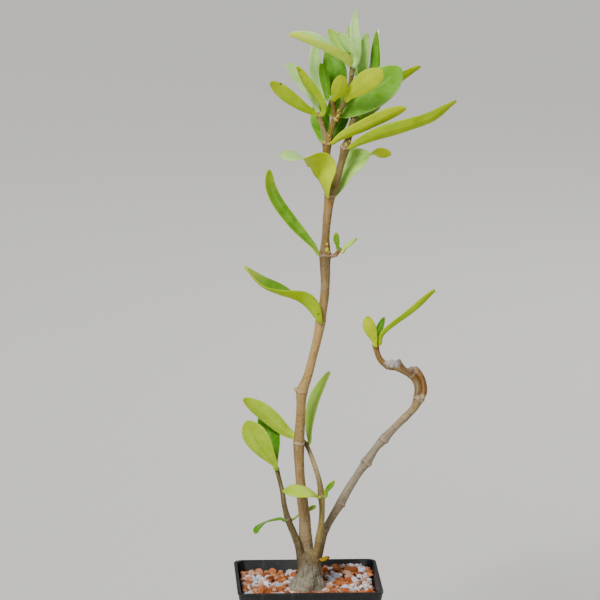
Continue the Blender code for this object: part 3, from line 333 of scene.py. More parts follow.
LEAVES = [
    Leaf("leaf_left_front", "left", 8,
         [(-18.7, -5, 140), (-23.2, -7, 146), (-29.2, -9, 155.5), (-33.8, -11, 165.7)],
         15.0, [(0.3, 0.9, 0.2)], 0.12, SPOON, skins=("fresh", "pale back")),
    Leaf("leaf_left_back", "left", 8,
         [(-18.2, 1.5, 140), (-19.5, 7, 147), (-21.5, 13, 155.5), (-25, 17, 164.5)],
         12.0, [(0.2, -0.9, 0.4)], 0.15, SPOON, skins=("deep", "pale back")),
    Leaf("leaf_middle_left", "middle", 10,
         [(-7, 10, 152), (-13, 9, 156), (-23.5, 5, 166.5), (-35.8, 0, 176)],
         9.8, [(0.15, 0.95, 0.05)], 0.15, (1.3, 0.6), skins=("fresh", "painted light")),
    Leaf("leaf_middle_right", "middle", 9,
         [(1.2, 9.5, 152), (1.5, 11, 160), (4.5, 13, 173), (12.5, 14, 188)],
         6.6, [(-0.4, -0.85, 0.2)], 0.2, (1.2, 0.6), skins=("lime", "green back")),
    Leaf("leaf_middle_front", "middle", 5,
         [(4, -9, 123.5), (0, -13, 127.2), (-6, -17, 128.6), (-14.6, -19.5, 127.4)],
         14.4, [(-0.1, -0.45, 0.9)], -0.25, (1.25, 0.75), skins=("painted light", "yellow back")),
    Leaf("leaf_middle_small", "middle", 5, [(10, -5.5, 124.5), (12.5, -6.5, 128), (14.5, -7, 130.5)],
         3.2, [(0.3, -0.9, 0.3)], 0.1, SPOON),
    Leaf("sprout_left", "left", 4,
         [(-15, -5, 109), (-22.5, -8, 108.3), (-26.8, -9, 106), (-28.7, -9, 104.1), (-29.5, -9, 101.4)],
         3.4, [(0, -0.9, 0.3)], 0.1, HANGING, skins=("deep", "deep")),
    Leaf("sprout_back", "left", 4, [(-8.5, 3, 106.5), (-4, 6.5, 109), (1, 8, 111), (5, 8.5, 113)],
         2.6, [(0, -0.7, 0.7)], 0.1, HANGING, skins=("lime", "lime")),
    Leaf("leaf_low_yellow", "middle", 1, [(8.8, -5.2, 85.8), (11.6, -6.4, 87.4)],
         2.6, [(0, -0.8, 0.5)], 0.1, OVAL, skins=("ochre", "ochre")),
    Leaf("leaf_twisted", "main", 15,
         [(5.8, -5, 219.8), (0.8, -7, 228), (-7, -8, 232.6),
          (-16, -8, 235.6), (-25.4, -7.5, 240.4), (-34.8, -6, 250.6)],
         12.2, [(0.5, 0.85, 0.1), (0.35, 0.75, 0.45), (0.25, 0.05, 0.95),
                (0.15, -0.4, 0.9), (0.1, -0.42, 0.88)],
         0.68, (1.0, 0.75), skins=("flushed", "yellow back")),
    Leaf("leaf_rising", "main", 19,
         [(5, 1, 258), (0.6, 3, 263), (-7.6, 5, 272), (-16.2, 6, 283.5), (-20.5, 5.5, 293),
          (-21.2, 5, 302.4)],
         7.4, [(0.35, -0.9, 0.3)], 0.2, (1.5, 0.42)),
    Leaf("leaf_shoot_up", "shoot", 2, [(16.2, -3.2, 261.5), (15.3, -3.4, 265), (15.6, -3, 268.5)],
         3.6, [(0.2, -0.95, 0.2)], 0.1, SPOON),
    Leaf("leaf_shoot_side", "shoot", 2, [(20, -2.5, 260), (23, -3, 262.5), (26.5, -4, 265.5)],
         2.6, [(-0.3, -0.8, 0.5)], 0.1, OVAL, skins=("lime", "pale back")),
    Leaf("leaf_fork_left", "main", 23,
         [(9.6, -5, 290.8), (7, -9.6, 297.6), (7.2, -9.2, 305.5), (2, -11.3, 309.8), (-15.9, -14, 313.2)],
         20.6, [(0.96, 0.17, -0.2), (0.92, 0.38, 0.13), (0.56, 0.77, 0.31), (0, -0.04, 1),
                (0.63, -0.55, 0.55)], 0.12, (1.04, 0.6), skins=("mint", "golden back")),
    Leaf("leaf_fork_right", "main", 23,
         [(16.6, 4, 291.5), (19.6, 6, 298), (24.6, 8.5, 305.5), (34, 9.5, 309.7), (46, 8, 310.4)],
         14.6, [(-0.5, -0.8, 0.2), (-0.35, -0.8, 0.45), (0, 0.85, 0.5)], 0.08, (1.4, 0.55),
         skins=("meadow", "golden back")),
    Leaf("leaf_long_right", "fork_right", 4,
         [(24, -2.5, 316), (30, -5, 319.5), (39, -7, 323.5),
          (52.5, -8, 327.5), (67, -8, 332.5), (80.5, -6, 341.5)],
         9.8, [(0.1, 0.8, 0.6)], 0.18, (0.95, 0.7)),
    Leaf("leaf_second_right", "fork_left", 4,
         [(14.3, -0.5, 318.5), (20, -3.5, 322.5), (29, -6.5, 327), (41, -8.5, 333), (53, -9, 338)],
         9.2, [(0.1, 0.8, 0.6)], 0.18, (1.5, 0.48), skins=("fresh", "golden back")),
    Leaf("leaf_broad", "twig_right", 3,
         [(17.8, 5, 333.4), (26, 3.8, 340), (34.5, 3.1, 345.6), (43, 3.4, 351.2), (51, 5, 358)],
         20.6, [(-0.15, -0.97, 0.18)], 0.08, (1.25, 0.55), skins=("broad", "pale back")),
    Leaf("leaf_behind_broad", "fork_right", 7,
         [(30, 9.5, 334.5), (38, 12.5, 341), (50, 15.5, 350), (62.5, 17, 357.5)],
         7.4, [(0.1, 0.8, 0.6)], 0.15, (1.3, 0.65)),
    Leaf("leaf_front_right", "twig_top", 2,
         [(22.5, -4.5, 344.5), (26.5, -8.5, 348.5), (32, -13, 353.5), (40, -17, 359)],
         11.8, [(0.2, 1, 0.1)], 0.1, (1.6, 0.5), skins=("fresh", "golden back")),
    Leaf("leaf_front_oval", "twig_inner", 2,
         [(14.2, -5, 343), (15.8, -8, 346), (17, -11, 351), (17.3, -13, 356.3)],
         9.0, [(-0.1, 1, 0.2)], 0.1, (1.6, 0.5), skins=("fresh", "golden back")),
    Leaf("leaf_far_left", "twig_left", 3,
         [(3, 0.5, 334), (-1.4, -2, 336.6), (-10.4, -5, 343.4), (-20.6, -8, 352.4)],
         8.8, [(0.4, 0.9, 0.2)], 0.1, (1.6, 0.48)),
    Leaf("leaf_left_rolled", "twig_left", 3,
         [(8.6, -1, 335.8), (6, -3, 341.5), (-0.4, -5, 350.5), (-6, -7, 360.4)],
         7.4, [(0.65, 0.75, 0.25)], 0.25, (1.45, 0.44)),
    Leaf("leaf_left_mint", "twig_left", 3,
         [(4.8, 6.4, 337), (2.6, 7.2, 343), (-3.6, 7.2, 352), (-11, 6, 360.2)],
         8.8, [(0.35, -0.88, 0.3)], 0.12, (1.9, 0.42), skins=("mint", "green back")),
    Leaf("leaf_tall_left", "twig_left", 3,
         [(8.8, 6.5, 336.8), (8, 10, 344), (4.6, 12.2, 356.5), (4.4, 13, 371.5)],
         7.4, [(0.2, -0.95, 0.2)], 0.15, (1.5, 0.5), skins=("mint", "green back")),
    Leaf("leaf_inner_green", "twig_inner", 2, [(10.2, 0.6, 344), (9.4, 4, 350), (7.6, 6.5, 360.5)],
         6.4, [(0.3, -0.9, 0.3)], 0.1, (1.5, 0.5), skins=("grass", "green back")),
    Leaf("leaf_inner_small", "twig_right", 3, [(12.7, 3.8, 334.5), (15.4, 8, 338.5), (18.2, 10.4, 344)],
         7.0, [(0, -0.9, 0.4)], 0.1, OVAL, skins=("grass", "green back")),
    Leaf("leaf_inner_dark", "twig_inner", 2,
         [(14.2, 2.8, 343.5), (16, 12, 349.5), (15, 19.5, 358), (11.6, 24, 367)],
         13.0, [(0, -0.95, 0.3)], 0.1, (1.3, 0.6), skins=("grass", "green back")),
    Leaf("leaf_arching", "twig_top", 6,
         [(21.5, -3.6, 361.6), (16.8, -6, 364.8), (9, -8.5, 369.3), (-1, -10, 374.1), (-10.6, -10, 378.1)],
         11.8, [(0.3, 0.72, 0.52), (0.1, -0.1, 1.0), (0, -0.2, 1.0), (0, 0.02, 1.0)], 0.9, (1.4, 0.4),
         skins=("mint", "lemon back")),
    Leaf("leaf_crown_front", "twig_top", 6,
         [(25.7, -3, 364.5), (23.9, -4.8, 368.6), (20, -6.2, 373.5), (15.8, -7.2, 379.1)],
         7.0, [(0.2, 0.9, 0.3)], 0.12, (1.4, 0.48), skins=("young", "young")),
    Leaf("leaf_crown_back", "twig_top", 6,
         [(21.6, 3.6, 363.5), (19, 6, 368), (15.5, 8, 373), (11.5, 9, 379)],
         6.6, [(0.2, -0.9, 0.3)], 0.12, (1.5, 0.5), skins=("lime", "green back")),
    Leaf("leaf_crown_top", "twig_top", 6,
         [(27, 1.6, 364), (26.4, 2.5, 371), (25.4, 3, 381), (27, 3, 391.3)],
         6.0, [(0.1, -1, 0.1)], 0.12, (1.0, 0.8), skins=("mint", "green back")),
    Leaf("leaf_crown_lobe", "twig_top", 5, [(25.4, 4.8, 360), (25, 7.7, 368), (22.3, 9.7, 380.5)],
         4.0, [(0.1, -1, 0.2)], 0.1, OVAL, skins=("lime", "green back")),
    # Its light young face makes up for the shade of the leaves over it: painted light.
    Leaf("leaf_right_upright", "fork_right", 9,
         [(29.4, 7.2, 347), (30, 8, 356), (31, 8, 366.5), (32.3, 7, 377)],
         6.0, [(0.05, -1, 0.1)], 0.12, (1.4, 0.5), skins=("young", "green back")),
    Leaf("leaf_right_small", "fork_right", 9,
         [(33.4, 12, 346.5), (35.8, 14.5, 355), (36.4, 14.5, 364)],
         4.6, [(0, -1, 0.1)], 0.1, OVAL, skins=("mint", "green back")),
    Leaf("leaf_right_folded", "fork_right", 9,
         [(34.4, 8.6, 346.2), (38, 10, 353), (38.6, 10.5, 364), (38.6, 10, 378.4)],
         7.6, [(-0.7, -0.65, 0.2)], 0.45, (1.3, 0.6), skins=("grass", "mint")),
    Leaf("leaf_under_left", "fork_left", 4,
         [(8.1, 6.8, 321), (7.2, 9.5, 327), (7.1, 11.5, 333.5), (7, 12, 340.5)],
         11.0, [(0, -0.9, 0.4)], 0.1, OVAL, skins=("broad", "green back")),
    Leaf("leaf_under_right", "fork_left", 4,
         [(13.2, 7.2, 320), (17.2, 10.8, 326), (19.7, 13.4, 332), (21.2, 15.4, 338.5)],
         9.0, [(-0.1, -0.9, 0.4)], 0.1, OVAL, skins=("deep", "green back")),
    Leaf("leaf_hook_oval", "hook_inner", 9,
         [(36.4, -0.6, 208.4), (34.8, -2, 212.5), (33.2, -3, 217.2), (32.6, -3, 222)],
         7.4, [(0.2, 0.95, 0.2)], 0.1, (1.8, 0.6), skins=("fresh", "golden back")),
    Leaf("leaf_hook_small", "hook_inner", 9, [(38, 6, 208.5), (40, 7, 213.5), (42.5, 7.5, 219.5)],
         4.2, [(-0.2, -0.9, 0.3)], 0.1, OVAL, skins=("deep", "green back")),
    Leaf("leaf_hook_long", "hook_inner", 9,
         [(39.8, 1.4, 208.2), (41.4, 0.5, 211.8), (47.5, -2, 217.5), (57.5, -4, 225.5), (69.4, -5, 236.8)],
         5.2, [(-0.42, 0.69, 0.41)], 0.15, (1.35, 0.42)),
    Leaf("leaf_rear_right", "fork_right", 4,
         [(22, 5, 318.5), (26, 12, 325), (33, 20, 330.5), (41, 28, 334)],
         9.4, [(-0.1, -0.25, 0.95)], 0.15, SPOON),
    Leaf("leaf_rear_fork", "main", 23, [(11, 8, 289.2), (11.5, 15, 294), (11.5, 22, 298.5), (10, 30, 301)],
         10.0, [(0.2, -0.3, 0.95)], 0.15, SPOON),
    Leaf("leaf_rear_upright", "fork_right", 9,
         [(29.5, 13.6, 346.5), (29.5, 19, 353), (29.5, 23.5, 362), (28.5, 26, 371)],
         8.0, [(0, -0.75, 0.65)], 0.15, SPOON, skins=("mint", "green back")),
]

# Blades: the steps of their curves, their cells along and across, and how evenly the rows of cells follow one
# another, since the rest of their spacing tightens towards the tip.
CURVE_STEPS = 12
LEAF_CELLS = (28, 10)
EVEN_ROWS = 0.35

# Stalks: their width, at most a share of the blade's, their flare at the bark, how deep they are rooted, how
# far out they run free of the bark, how softly they widen, between which shares of the leaf they taper and to
# what width, and the most that they may be thick, as a share of the blade's width.
STALK_WIDTH = 1.7
STALK_SHARE = 0.45
STALK_FLARE = 0.3
FLARE_LENGTH = 1.5
STALK_ROOT = 0.6
STALK_FREE = 1.3
STALK_EASE = 0.5
STALK_TAPER = (0.2, 0.8)
TIP_WIDTH = 0.25
THIN_STALK = 0.5

# Blade relief: the half widths over which a stalk turns into a blade, the pace and slant of the waves of its
# margins, the width of the midrib's groove and where it runs out. The seed of a leaf sets its waves, its tint
# and its place in the patterns of the skin.
BLADE_GROWS = (0.6, 2.0)
WAVE_PACE = 5.0
WAVE_SLANT = 1.7
GROOVE_WIDTH = 0.8
GROOVE_ENDS = (0.7, 1.0)
SEED_TURN = 2.4
SEED_TINT = 0.618
SEED_STEP = 37.0

# A leaf skin: the colours of its face, its mottling, its veins, its margin and its tip, its roughness, how
# much of the side veins, the vein net, the brown freckles, the waxy bloom, which is partly painted sheen, and
# the midrib it shows, and if its margin colour flushes a whole side of the leaf.
Skin = namedtuple(
    "Skin", "title face mottle vein margin tip rough side_veins net freckles bloom rib flushed",
    defaults=(0.5, False),
)
LEAF_SKINS = {
    "fresh": Skin("waxy green leaf face", "#528412", "#6C9C20", "#8CB440", "#A6B22C", "#98A408",
                  0.44, 0.25, 0.15, 0.1, 0.05, 0.2),
    "broad": Skin("veined green leaf face", "#62A000", "#78B430", "#90C454", "#B2D084", "#6CAA14",
                  0.42, 0.4, 0.1, 0.0, 0.05),
    "deep": Skin("dark green leaf face", "#3C7202", "#4E8608", "#78A83E", "#80B44A", "#508E08",
                 0.40, 0.3, 0.1, 0.0, 0.05),
    "grass": Skin("grass green leaf face", "#528A06", "#68A024", "#88B848", "#A6CA6E", "#74A014",
                  0.44, 0.25, 0.1, 0.0, 0.05, 0.2),
    "flushed": Skin("green leaf face with a yellow side", "#5A8A0C", "#6C9C28", "#88B848", "#D2CC62",
                    "#C8C458", 0.44, 0.2, 0.1, 0.0, 0.05, 0.2, True),
    "meadow": Skin("soft green leaf face", "#A2DC4A", "#B4E468", "#BEE484", "#CCE8A0", "#A4CE4C",
                   0.48, 0.2, 0.1, 0.0, 0.25),
    "young": Skin("tender young leaf face", "#9ED450", "#B2E072", "#C4E88C", "#D6EEAE", "#A6D65C",
                  0.52, 0.15, 0.1, 0.0, 0.2),
    # The pale mint face is partly painted sheen.
    "mint": Skin("bloomed young leaf face", "#AEE070", "#C4EC96", "#D2F0A8", "#E2F2CC", "#B4DE78",
                 0.55, 0.12, 0.1, 0.0, 0.25),
    "lime": Skin("pale green leaf face", "#96CA38", "#AAD254", "#BADA68", "#BADC60", "#9CC428",
                 0.48, 0.15, 0.2, 0.1, 0.2),
    # A lighter copy of a green face, for leaves that lie in shade: painted light.
    "painted light": Skin("sunlit leaf face", "#A6C81A", "#BAD834", "#C2DC44", "#C8DE44", "#A0B808",
                   0.48, 0.2, 0.3, 0.1, 0.05),
    "yellow back": Skin("yellow-green leaf back", "#8EAE00", "#A2BE00", "#AEC600", "#AAC200", "#9CA800",
                        0.56, 0.1, 0.2, 0.6, 0.0, 0.12),
    "golden back": Skin("golden leaf back", "#A6BC00", "#B6C800", "#BCCE06", "#BACC00", "#AEBA00",
                        0.56, 0.1, 0.2, 0.4, 0.0, 0.06),
    "lemon back": Skin("lemon leaf back", "#C4E43C", "#D2EC5A", "#DAE86A", "#CCDC30", "#CCD410",
                       0.56, 0.1, 0.2, 0.2, 0.0, 0.06),
    "pale back": Skin("pale veined leaf back", "#A2C01A", "#B4CC34", "#84A810", "#C2D848", "#A0B80C",
                      0.52, 0.3, 0.8, 0.2, 0.05),
    "green back": Skin("soft green leaf back", "#84B824", "#9AC640", "#B6CA30", "#B8DA6C", "#94C024",
                       0.52, 0.2, 0.4, 0.3, 0.2),
    "ochre": Skin("yellowed dying leaf", "#8C6C06", "#9E7E10", "#A28418", "#7A5A08", "#6C440C",
                  0.6, 0.1, 0.2, 0.8, 0.0, 0.2),
}

# Blemishes on the leaves: the distance along and across, and the radius, of each small dead spot.
BLEMISHES = {
    "leaf_crown_front": [(11.2, -2.2, 0.9)],
    "leaf_hook_oval": [(12.6, 0.7, 0.26), (9.5, -0.9, 0.2), (6.9, 0.6, 0.34)],
    "leaf_twisted": [(15.0, 4.4, 0.26), (13.2, 2.6, 0.2), (7.8, 1.7, 0.42)],
    "leaf_fork_left": [(14.7, -2.7, 0.5)],
    "leaf_far_left": [(31.0, 3.0, 0.7)],
    "leaf_left_rolled": [(32.4, 0.4, 0.5), (28.4, -0.6, 0.4), (24.6, 1.0, 0.35)],
}

# Axil buds: x, y, z, length, and 0 for a yellow scale or 1 for a dry one.
BUDS = [
    (10.6, -3.9, 259.0, 3.4, 0), (12.0, -3.6, 257.4, 2.0, 1), (7.6, -1.2, 318.4, 2.2, 0),
    (12.9, -2.4, 319.0, 1.8, 1), (16.6, -2.2, 332.6, 2.4, 0), (15.2, -2.6, 330.6, 2.2, 0),
    (17.4, -1.4, 330.2, 1.6, 1), (21.0, -2.6, 317.0, 2.2, 0), (22.6, -2.2, 315.4, 1.8, 1),
    (20.0, -3.0, 314.6, 1.6, 1), (21.0, -2.4, 343.4, 1.9, 0), (8.2, 0.6, 334.4, 1.8, 1),
    (5.0, 0.8, 332.8, 1.7, 0), (22.8, -1.6, 361.0, 1.6, 1), (13.6, -3.0, 342.8, 1.6, 1),
    (8.8, 0.2, 328.6, 1.5, 1), (16.2, -1.8, 335.8, 1.7, 0), (17.6, -1.6, 334.2, 1.5, 1),
    (22.2, -2.4, 345.6, 1.5, 0), (11.0, -1.2, 321.4, 1.4, 0), (10.9, -4.2, 262.2, 2.0, 0),
    (23.8, -2.6, 319.2, 1.5, 0), (13.2, -3.4, 316.6, 1.5, 0),
]
BUD_SEED = 5
BUD_CELLS = (14, 10)

# The number of a bud's scales. Then, as shares of its length, how far its middle stands out from the bark and
# the size of its outer scales, its width as a share of a ball's, and how much of that it loses at its tip.
SCALE_COUNT = 3
BUD_STANDS_OUT = 0.12
SCALE_SHARE = 0.62
BUD_WIDTH = 0.62
BUD_NARROWS = 0.55

# How far a scale leans to the side and to the front, in radians, and how far an outer one is shifted to the
# side, to the back and down, as shares of the bud's length.
SIDE_LEAN = (-0.5, 0.5)
FRONT_LEAN = (0.0, 0.5)
SIDE_SHIFT = (-0.4, 0.4)
BACK_SHIFT = (-0.2, 0.3)
SCALE_DROP = 0.3

# Camera: where it stands, the azimuth and the fall of its view in degrees, and its long lens.
CAMERA_AT = (-110.4, -2430.0, 671.8)
CAMERA_TURN = -2.5
CAMERA_FALL = 10.28
CAMERA_LENS = 270.4
CLIP_END = 50.0

# Studio, in metres: the reach of its floor, the width and place of each soft box, and what they are aimed at.
# The key light is far off, so it has a heading and a spread in degrees.
FLOOR_REACH = 8.0
SOFT_BOXES = {"fill": (1.1, (-0.9, -1.5, 1.0)), "rim": (0.8, (0.9, 1.2, 1.2))}
LIGHT_AIM = (0.0, 0.0, 0.25)
KEY_HEADING = (0.55, 0.95, -1.1)
KEY_SPREAD = 16.0
AIR_COLOUR = "#F2F3F5"
AIR_STRENGTH = 0.3


class PotSettings(bpy.types.PropertyGroup):
    wall: length_setting("Wall", 1.0, "Thickness of the pot's wall")
    edge: length_setting("Edge radius", 0.25, "Rounding of the pot's edges")
    plastic: colour_setting("Plastic", "#0B0C0E", "Colour of the moulded plastic")
    dust: colour_setting("Dust", "#3A3A36", "Colour of the dust and scuffs on it")


class GritSettings(bpy.types.PropertyGroup):
    smallest: length_setting("Smallest grain", 2.8, "Width of the smallest grains")
    largest: length_setting("Largest grain", 6.0, "Width of the largest grains")
    throws: IntProperty(name="Throws", description="How many grains are dropped in", default=5600, min=1)
    seed: IntProperty(name="Seed", description="Start of the random draws", default=31, min=0)
    clay: colour_setting("Fired clay", "#9C4C18", "Colour of the clay grains")
    pumice: colour_setting("Pumice", "#CED2DE", "Colour of the pumice grains")


class WoodSettings(bpy.types.PropertyGroup):
    voxel: length_setting("Mesh spacing", 0.45, "Spacing of the points on the bark")
    ridge: length_setting("Ring height", 0.5, "Height of a leaf scar ring over the bark")
    roughness: length_setting("Bark relief", 0.22, "Height of the ridges and wrinkles of the bark")


class LeafSettings(bpy.types.PropertyGroup):
    stalk: length_setting("Stalk thickness", 1.7, "Thickness of the leaf stalks")
    middle: length_setting("Blade thickness", 0.95, "Thickness of the blades at the midrib")
    margin: length_setting("Margin thickness", 0.5, "Thickness of the blades at their margins")
    groove: length_setting("Midrib depth", 0.28, "Depth of the midrib in the upper face")
    wave: length_setting("Margin wave", 0.3, "Height of the waves along the margins")


class StageSettings(bpy.types.PropertyGroup):
    floor: colour_setting("Floor", "#D9D7D2", "Colour of the studio floor")
    key: FloatProperty(name="Key light", description="Strength of the wide main light", default=3.1, min=0.0)
    fill: FloatProperty(name="Fill light", description="Power of the soft box", unit="POWER", default=14.0)
    rim: FloatProperty(name="Rim light", description="Power of the light behind", unit="POWER", default=10.0)


GROUPS = {
    "plant_pot": PotSettings, "plant_grit": GritSettings, "plant_wood": WoodSettings,
    "plant_leaf": LeafSettings, "plant_stage": StageSettings,
}


def add_node(tree, kind, inputs=None, **settings):
    """Adds a node with its settings and its inputs, set or linked. Returns its outputs."""
    node = tree.nodes.new(kind)
    for name, value in settings.items():
        setattr(node, name, value)
    for name, value in (inputs or {}).items():
        if isinstance(value, bpy.types.NodeSocket):
            tree.links.new(value, node.inputs[name])
        else:
            node.inputs[name].default_value = value
    return node.outputs


def new_material(title, values):
    """A Principled material with its sockets set. Returns it, its node tree and its shader."""
    material = bpy.data.materials.new(title)
    material.use_nodes = True
    shader = material.node_tree.nodes["Principled BSDF"]
    for name, value in values.items():
        shader.inputs[name].default_value = value
    return material, material.node_tree, shader


def finish_surface(tree, shader, colour, height, depth, rough_by, rough):
    """Links a colour, a bump of a real depth in millimetres, and a roughness that varies a little."""
    bump = add_node(tree, "ShaderNodeBump", {"Height": height, "Distance": depth * MM, "Strength": 1.0})
    spread = add_node(tree, "ShaderNodeMapRange", {
        "Value": rough_by, "From Min": 0.3, "From Max": 0.7, "To Min": rough - 0.07, "To Max": rough + 0.07,
    })
    tree.links.new(colour, shader.inputs["Base Color"])
    tree.links.new(bump[0], shader.inputs["Normal"])
    tree.links.new(spread[0], shader.inputs["Roughness"])


def layered(tree, colour, layers):
    """Lays colours, as hex codes or values, over one another, each by its own mask and share."""
    for mask, share, shade in layers:
        part = add_node(tree, "ShaderNodeMath", {0: mask, 1: share}, operation="MULTIPLY")[0]
        over = linear(shade) if isinstance(shade, str) else shade
        colour = add_node(tree, "ShaderNodeMix", {0: part, 6: colour, 7: over}, data_type="RGBA")[2]
    return colour


def add_object(name, data):
    """Puts a new object into the scene: a piece, a light, the camera, or a helper that is removed later."""
    added = bpy.data.objects.new(name, data)
    bpy.context.scene.collection.objects.link(added)
    return added


def link_piece(name, mesh, materials, nodes):
    """Puts a finished piece into the scene, on the root body, in place of its nodes."""
    piece = add_object(name, mesh)
    for material in materials:
        mesh.materials.append(material)
    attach(piece, "root")
    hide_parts(*nodes)
    return piece


def mesh_from(bm, name):
    """The mesh of a finished bmesh, with its faces pointing out."""
    bmesh.ops.recalc_face_normals(bm, faces=bm.faces)
    mesh = bpy.data.meshes.new(name)
    bm.to_mesh(mesh)
    bm.free()
    return mesh


def shown_mesh(piece):
    """A new mesh of what an object of any kind shows."""
    bpy.context.view_layer.update()
    graph = bpy.context.evaluated_depsgraph_get()
    return bpy.data.meshes.new_from_object(piece.evaluated_get(graph))


def take_mesh(piece):
    """The mesh that a helper object shows. The object is removed."""
    mesh = shown_mesh(piece)
    bpy.data.objects.remove(piece, do_unlink=True)
    return mesh


def write_layer(mesh, name, kind, field, values):
    """Writes one value for each point of the mesh, for its materials to read."""
    layer = mesh.attributes.new(name, kind, "POINT")
    layer.data.foreach_set(field, np.ascontiguousarray(values, dtype=np.float32).ravel())


def taper_half(height):
    """Outer half width of the tapering wall at a height."""
    return FOOT_HALF + (TAPER_HALF - FOOT_HALF) * height / POT_HEIGHT


def square_tower(levels, corner):
    """A solid whose square section, with rounded corners, passes through (half width, height) levels."""
    bm = bmesh.new()
    half, height = levels[0]
    bmesh.ops.create_grid(bm, x_segments=1, y_segments=1, size=half * MM)
    bmesh.ops.translate(bm, verts=bm.verts, vec=(0, 0, height * MM))
    bmesh.ops.bevel(
        bm, geom=bm.verts[:], offset=corner * MM, offset_type="OFFSET", affect="VERTICES",
        segments=CORNER_STEPS, profile=0.5, material=-1,
    )
    top = bm.faces[:]
    for next_half, next_height in levels[1:]:
        grown = bmesh.ops.extrude_face_region(bm, geom=top)["geom"]
        if height > levels[0][1]:
            bmesh.ops.delete(bm, geom=top, context="FACES_ONLY")
        ring = [item for item in grown if isinstance(item, bmesh.types.BMVert)]
        top = [item for item in grown if isinstance(item, bmesh.types.BMFace)]
        scale = next_half / half
        bmesh.ops.scale(bm, verts=ring, vec=(scale, scale, 1.0))
        bmesh.ops.translate(bm, verts=ring, vec=(0, 0, (next_height - height) * MM))
        half, height = next_half, next_height
    return bm


def pot_plastic(look):
    """Injection-moulded black polypropylene: a soft sheen, a fine mould texture, and dust in dull patches."""
    material, tree, shader = new_material("black moulded polypropylene", {
        "IOR": 1.49, "Specular IOR Level": 0.4,
    })
    place = add_node(tree, "ShaderNodeTexCoord")["Object"]
    # Dust lies in clouds about 12 mm wide. The mould texture is 0.8 mm, coarser than real so that it shows.
    clouds = add_node(tree, "ShaderNodeTexNoise", {"Vector": place, "Scale": 80.0, "Detail": 5.0})["Fac"]
    grain = add_node(tree, "ShaderNodeTexNoise", {"Vector": place, "Scale": 1250.0, "Detail": 2.0})["Fac"]
    streaked = add_node(tree, "ShaderNodeMapping", {"Vector": place, "Scale": (260.0, 260.0, 18.0)})[0]
    scuffs = add_node(tree, "ShaderNodeTexNoise", {"Vector": streaked, "Scale": 1.0, "Detail": 3.0})["Fac"]
    dusty = add_node(tree, "ShaderNodeMapRange", {"Value": clouds, "From Min": 0.5, "From Max": 0.75})[0]
    scuffed = add_node(tree, "ShaderNodeMapRange", {"Value": scuffs, "From Min": 0.62, "From Max": 0.75})[0]
    colour = layered(tree, look.plastic, [(dusty, 0.3, look.dust), (scuffed, 0.35, look.dust)])
    finish_surface(tree, shader, colour, grain, 0.05, clouds, 0.42)
    return material


def drill_drain(shell, x, y):
    """Cuts one round drain hole through the floor of the pot."""
    bm = bmesh.new()
    bmesh.ops.create_cone(
        bm, cap_ends=True, segments=DRAIN_SIDES, radius1=DRAIN_RADIUS * MM, radius2=DRAIN_RADIUS * MM,
        depth=3 * FLOOR * MM, matrix=Matrix.Translation((x * MM, y * MM, 0)),
    )
    drill = add_object("drill", mesh_from(bm, "drill"))
    hole = shell.modifiers.new("drain hole", "BOOLEAN")
    hole.operation = "DIFFERENCE"
    hole.object = drill
    drilled = shown_mesh(shell)
    shell.modifiers.clear()
    shell.data = drilled
    bpy.data.objects.remove(drill, do_unlink=True)


class PLANT_OT_pot(bpy.types.Operator):
    """Builds the square nursery pot with its lip, its band and its drain holes"""
    bl_idname = "plant.pot"
    bl_label = "Pot"

    def execute(self, context):
        look = context.scene.plant_pot
        wall = look.wall / MM
        levels = [
            (FOOT_HALF - FOOT_EASE, 0.0),
            (FOOT_HALF - EDGE_EASE, EDGE_EASE),
            (FOOT_HALF, FOOT_EASE),
            (taper_half(BAND_HEIGHT - BAND_STEP), BAND_HEIGHT - BAND_STEP),
            (taper_half(BAND_HEIGHT) + BAND_HALF - TAPER_HALF, BAND_HEIGHT),
            (BAND_HALF, POT_HEIGHT - LIP_DROP),
            (LIP_HALF, POT_HEIGHT - LIP_DROP + LIP_UNDERCUT),
            (LIP_HALF, POT_HEIGHT - EDGE_EASE),
            (LIP_HALF - EDGE_EASE, POT_HEIGHT),
            (TAPER_HALF - wall + RIM_SLOPE, POT_HEIGHT),
            (TAPER_HALF - wall, POT_HEIGHT - EDGE_EASE),
            (taper_half(FLOOR) - wall, FLOOR),
        ]
        shell = add_object("pot_shell", mesh_from(square_tower(levels, POT_CORNER), "pot_shell"))
        for side_x in (-1, 1):
            for side_y in (-1, 1):
                drill_drain(shell, side_x * DRAIN_OFFSET, side_y * DRAIN_OFFSET)
        mesh = shell.data
        mesh.materials.clear()
        bpy.data.objects.remove(shell, do_unlink=True)
        mesh.shade_smooth()
        pot = link_piece("nursery_pot", mesh, [pot_plastic(look)], ["pot"])
        rounding = pot.modifiers.new("rounded edges", "BEVEL")
        rounding.limit_method = "ANGLE"
        rounding.angle_limit = POT_EDGE_ANGLE
        rounding.width = look.edge
        rounding.segments = 2
        rounding.harden_normals = True
        return {"FINISHED"}


def grit_height(x, y):
    """Level of the grit, which is mounded up at the back right."""
    away = (x - MOUND_AT[0]) ** 2 + (y - MOUND_AT[1]) ** 2
    return GRIT_LEVEL + MOUND_HEIGHT * math.exp(-away / MOUND_REACH ** 2)


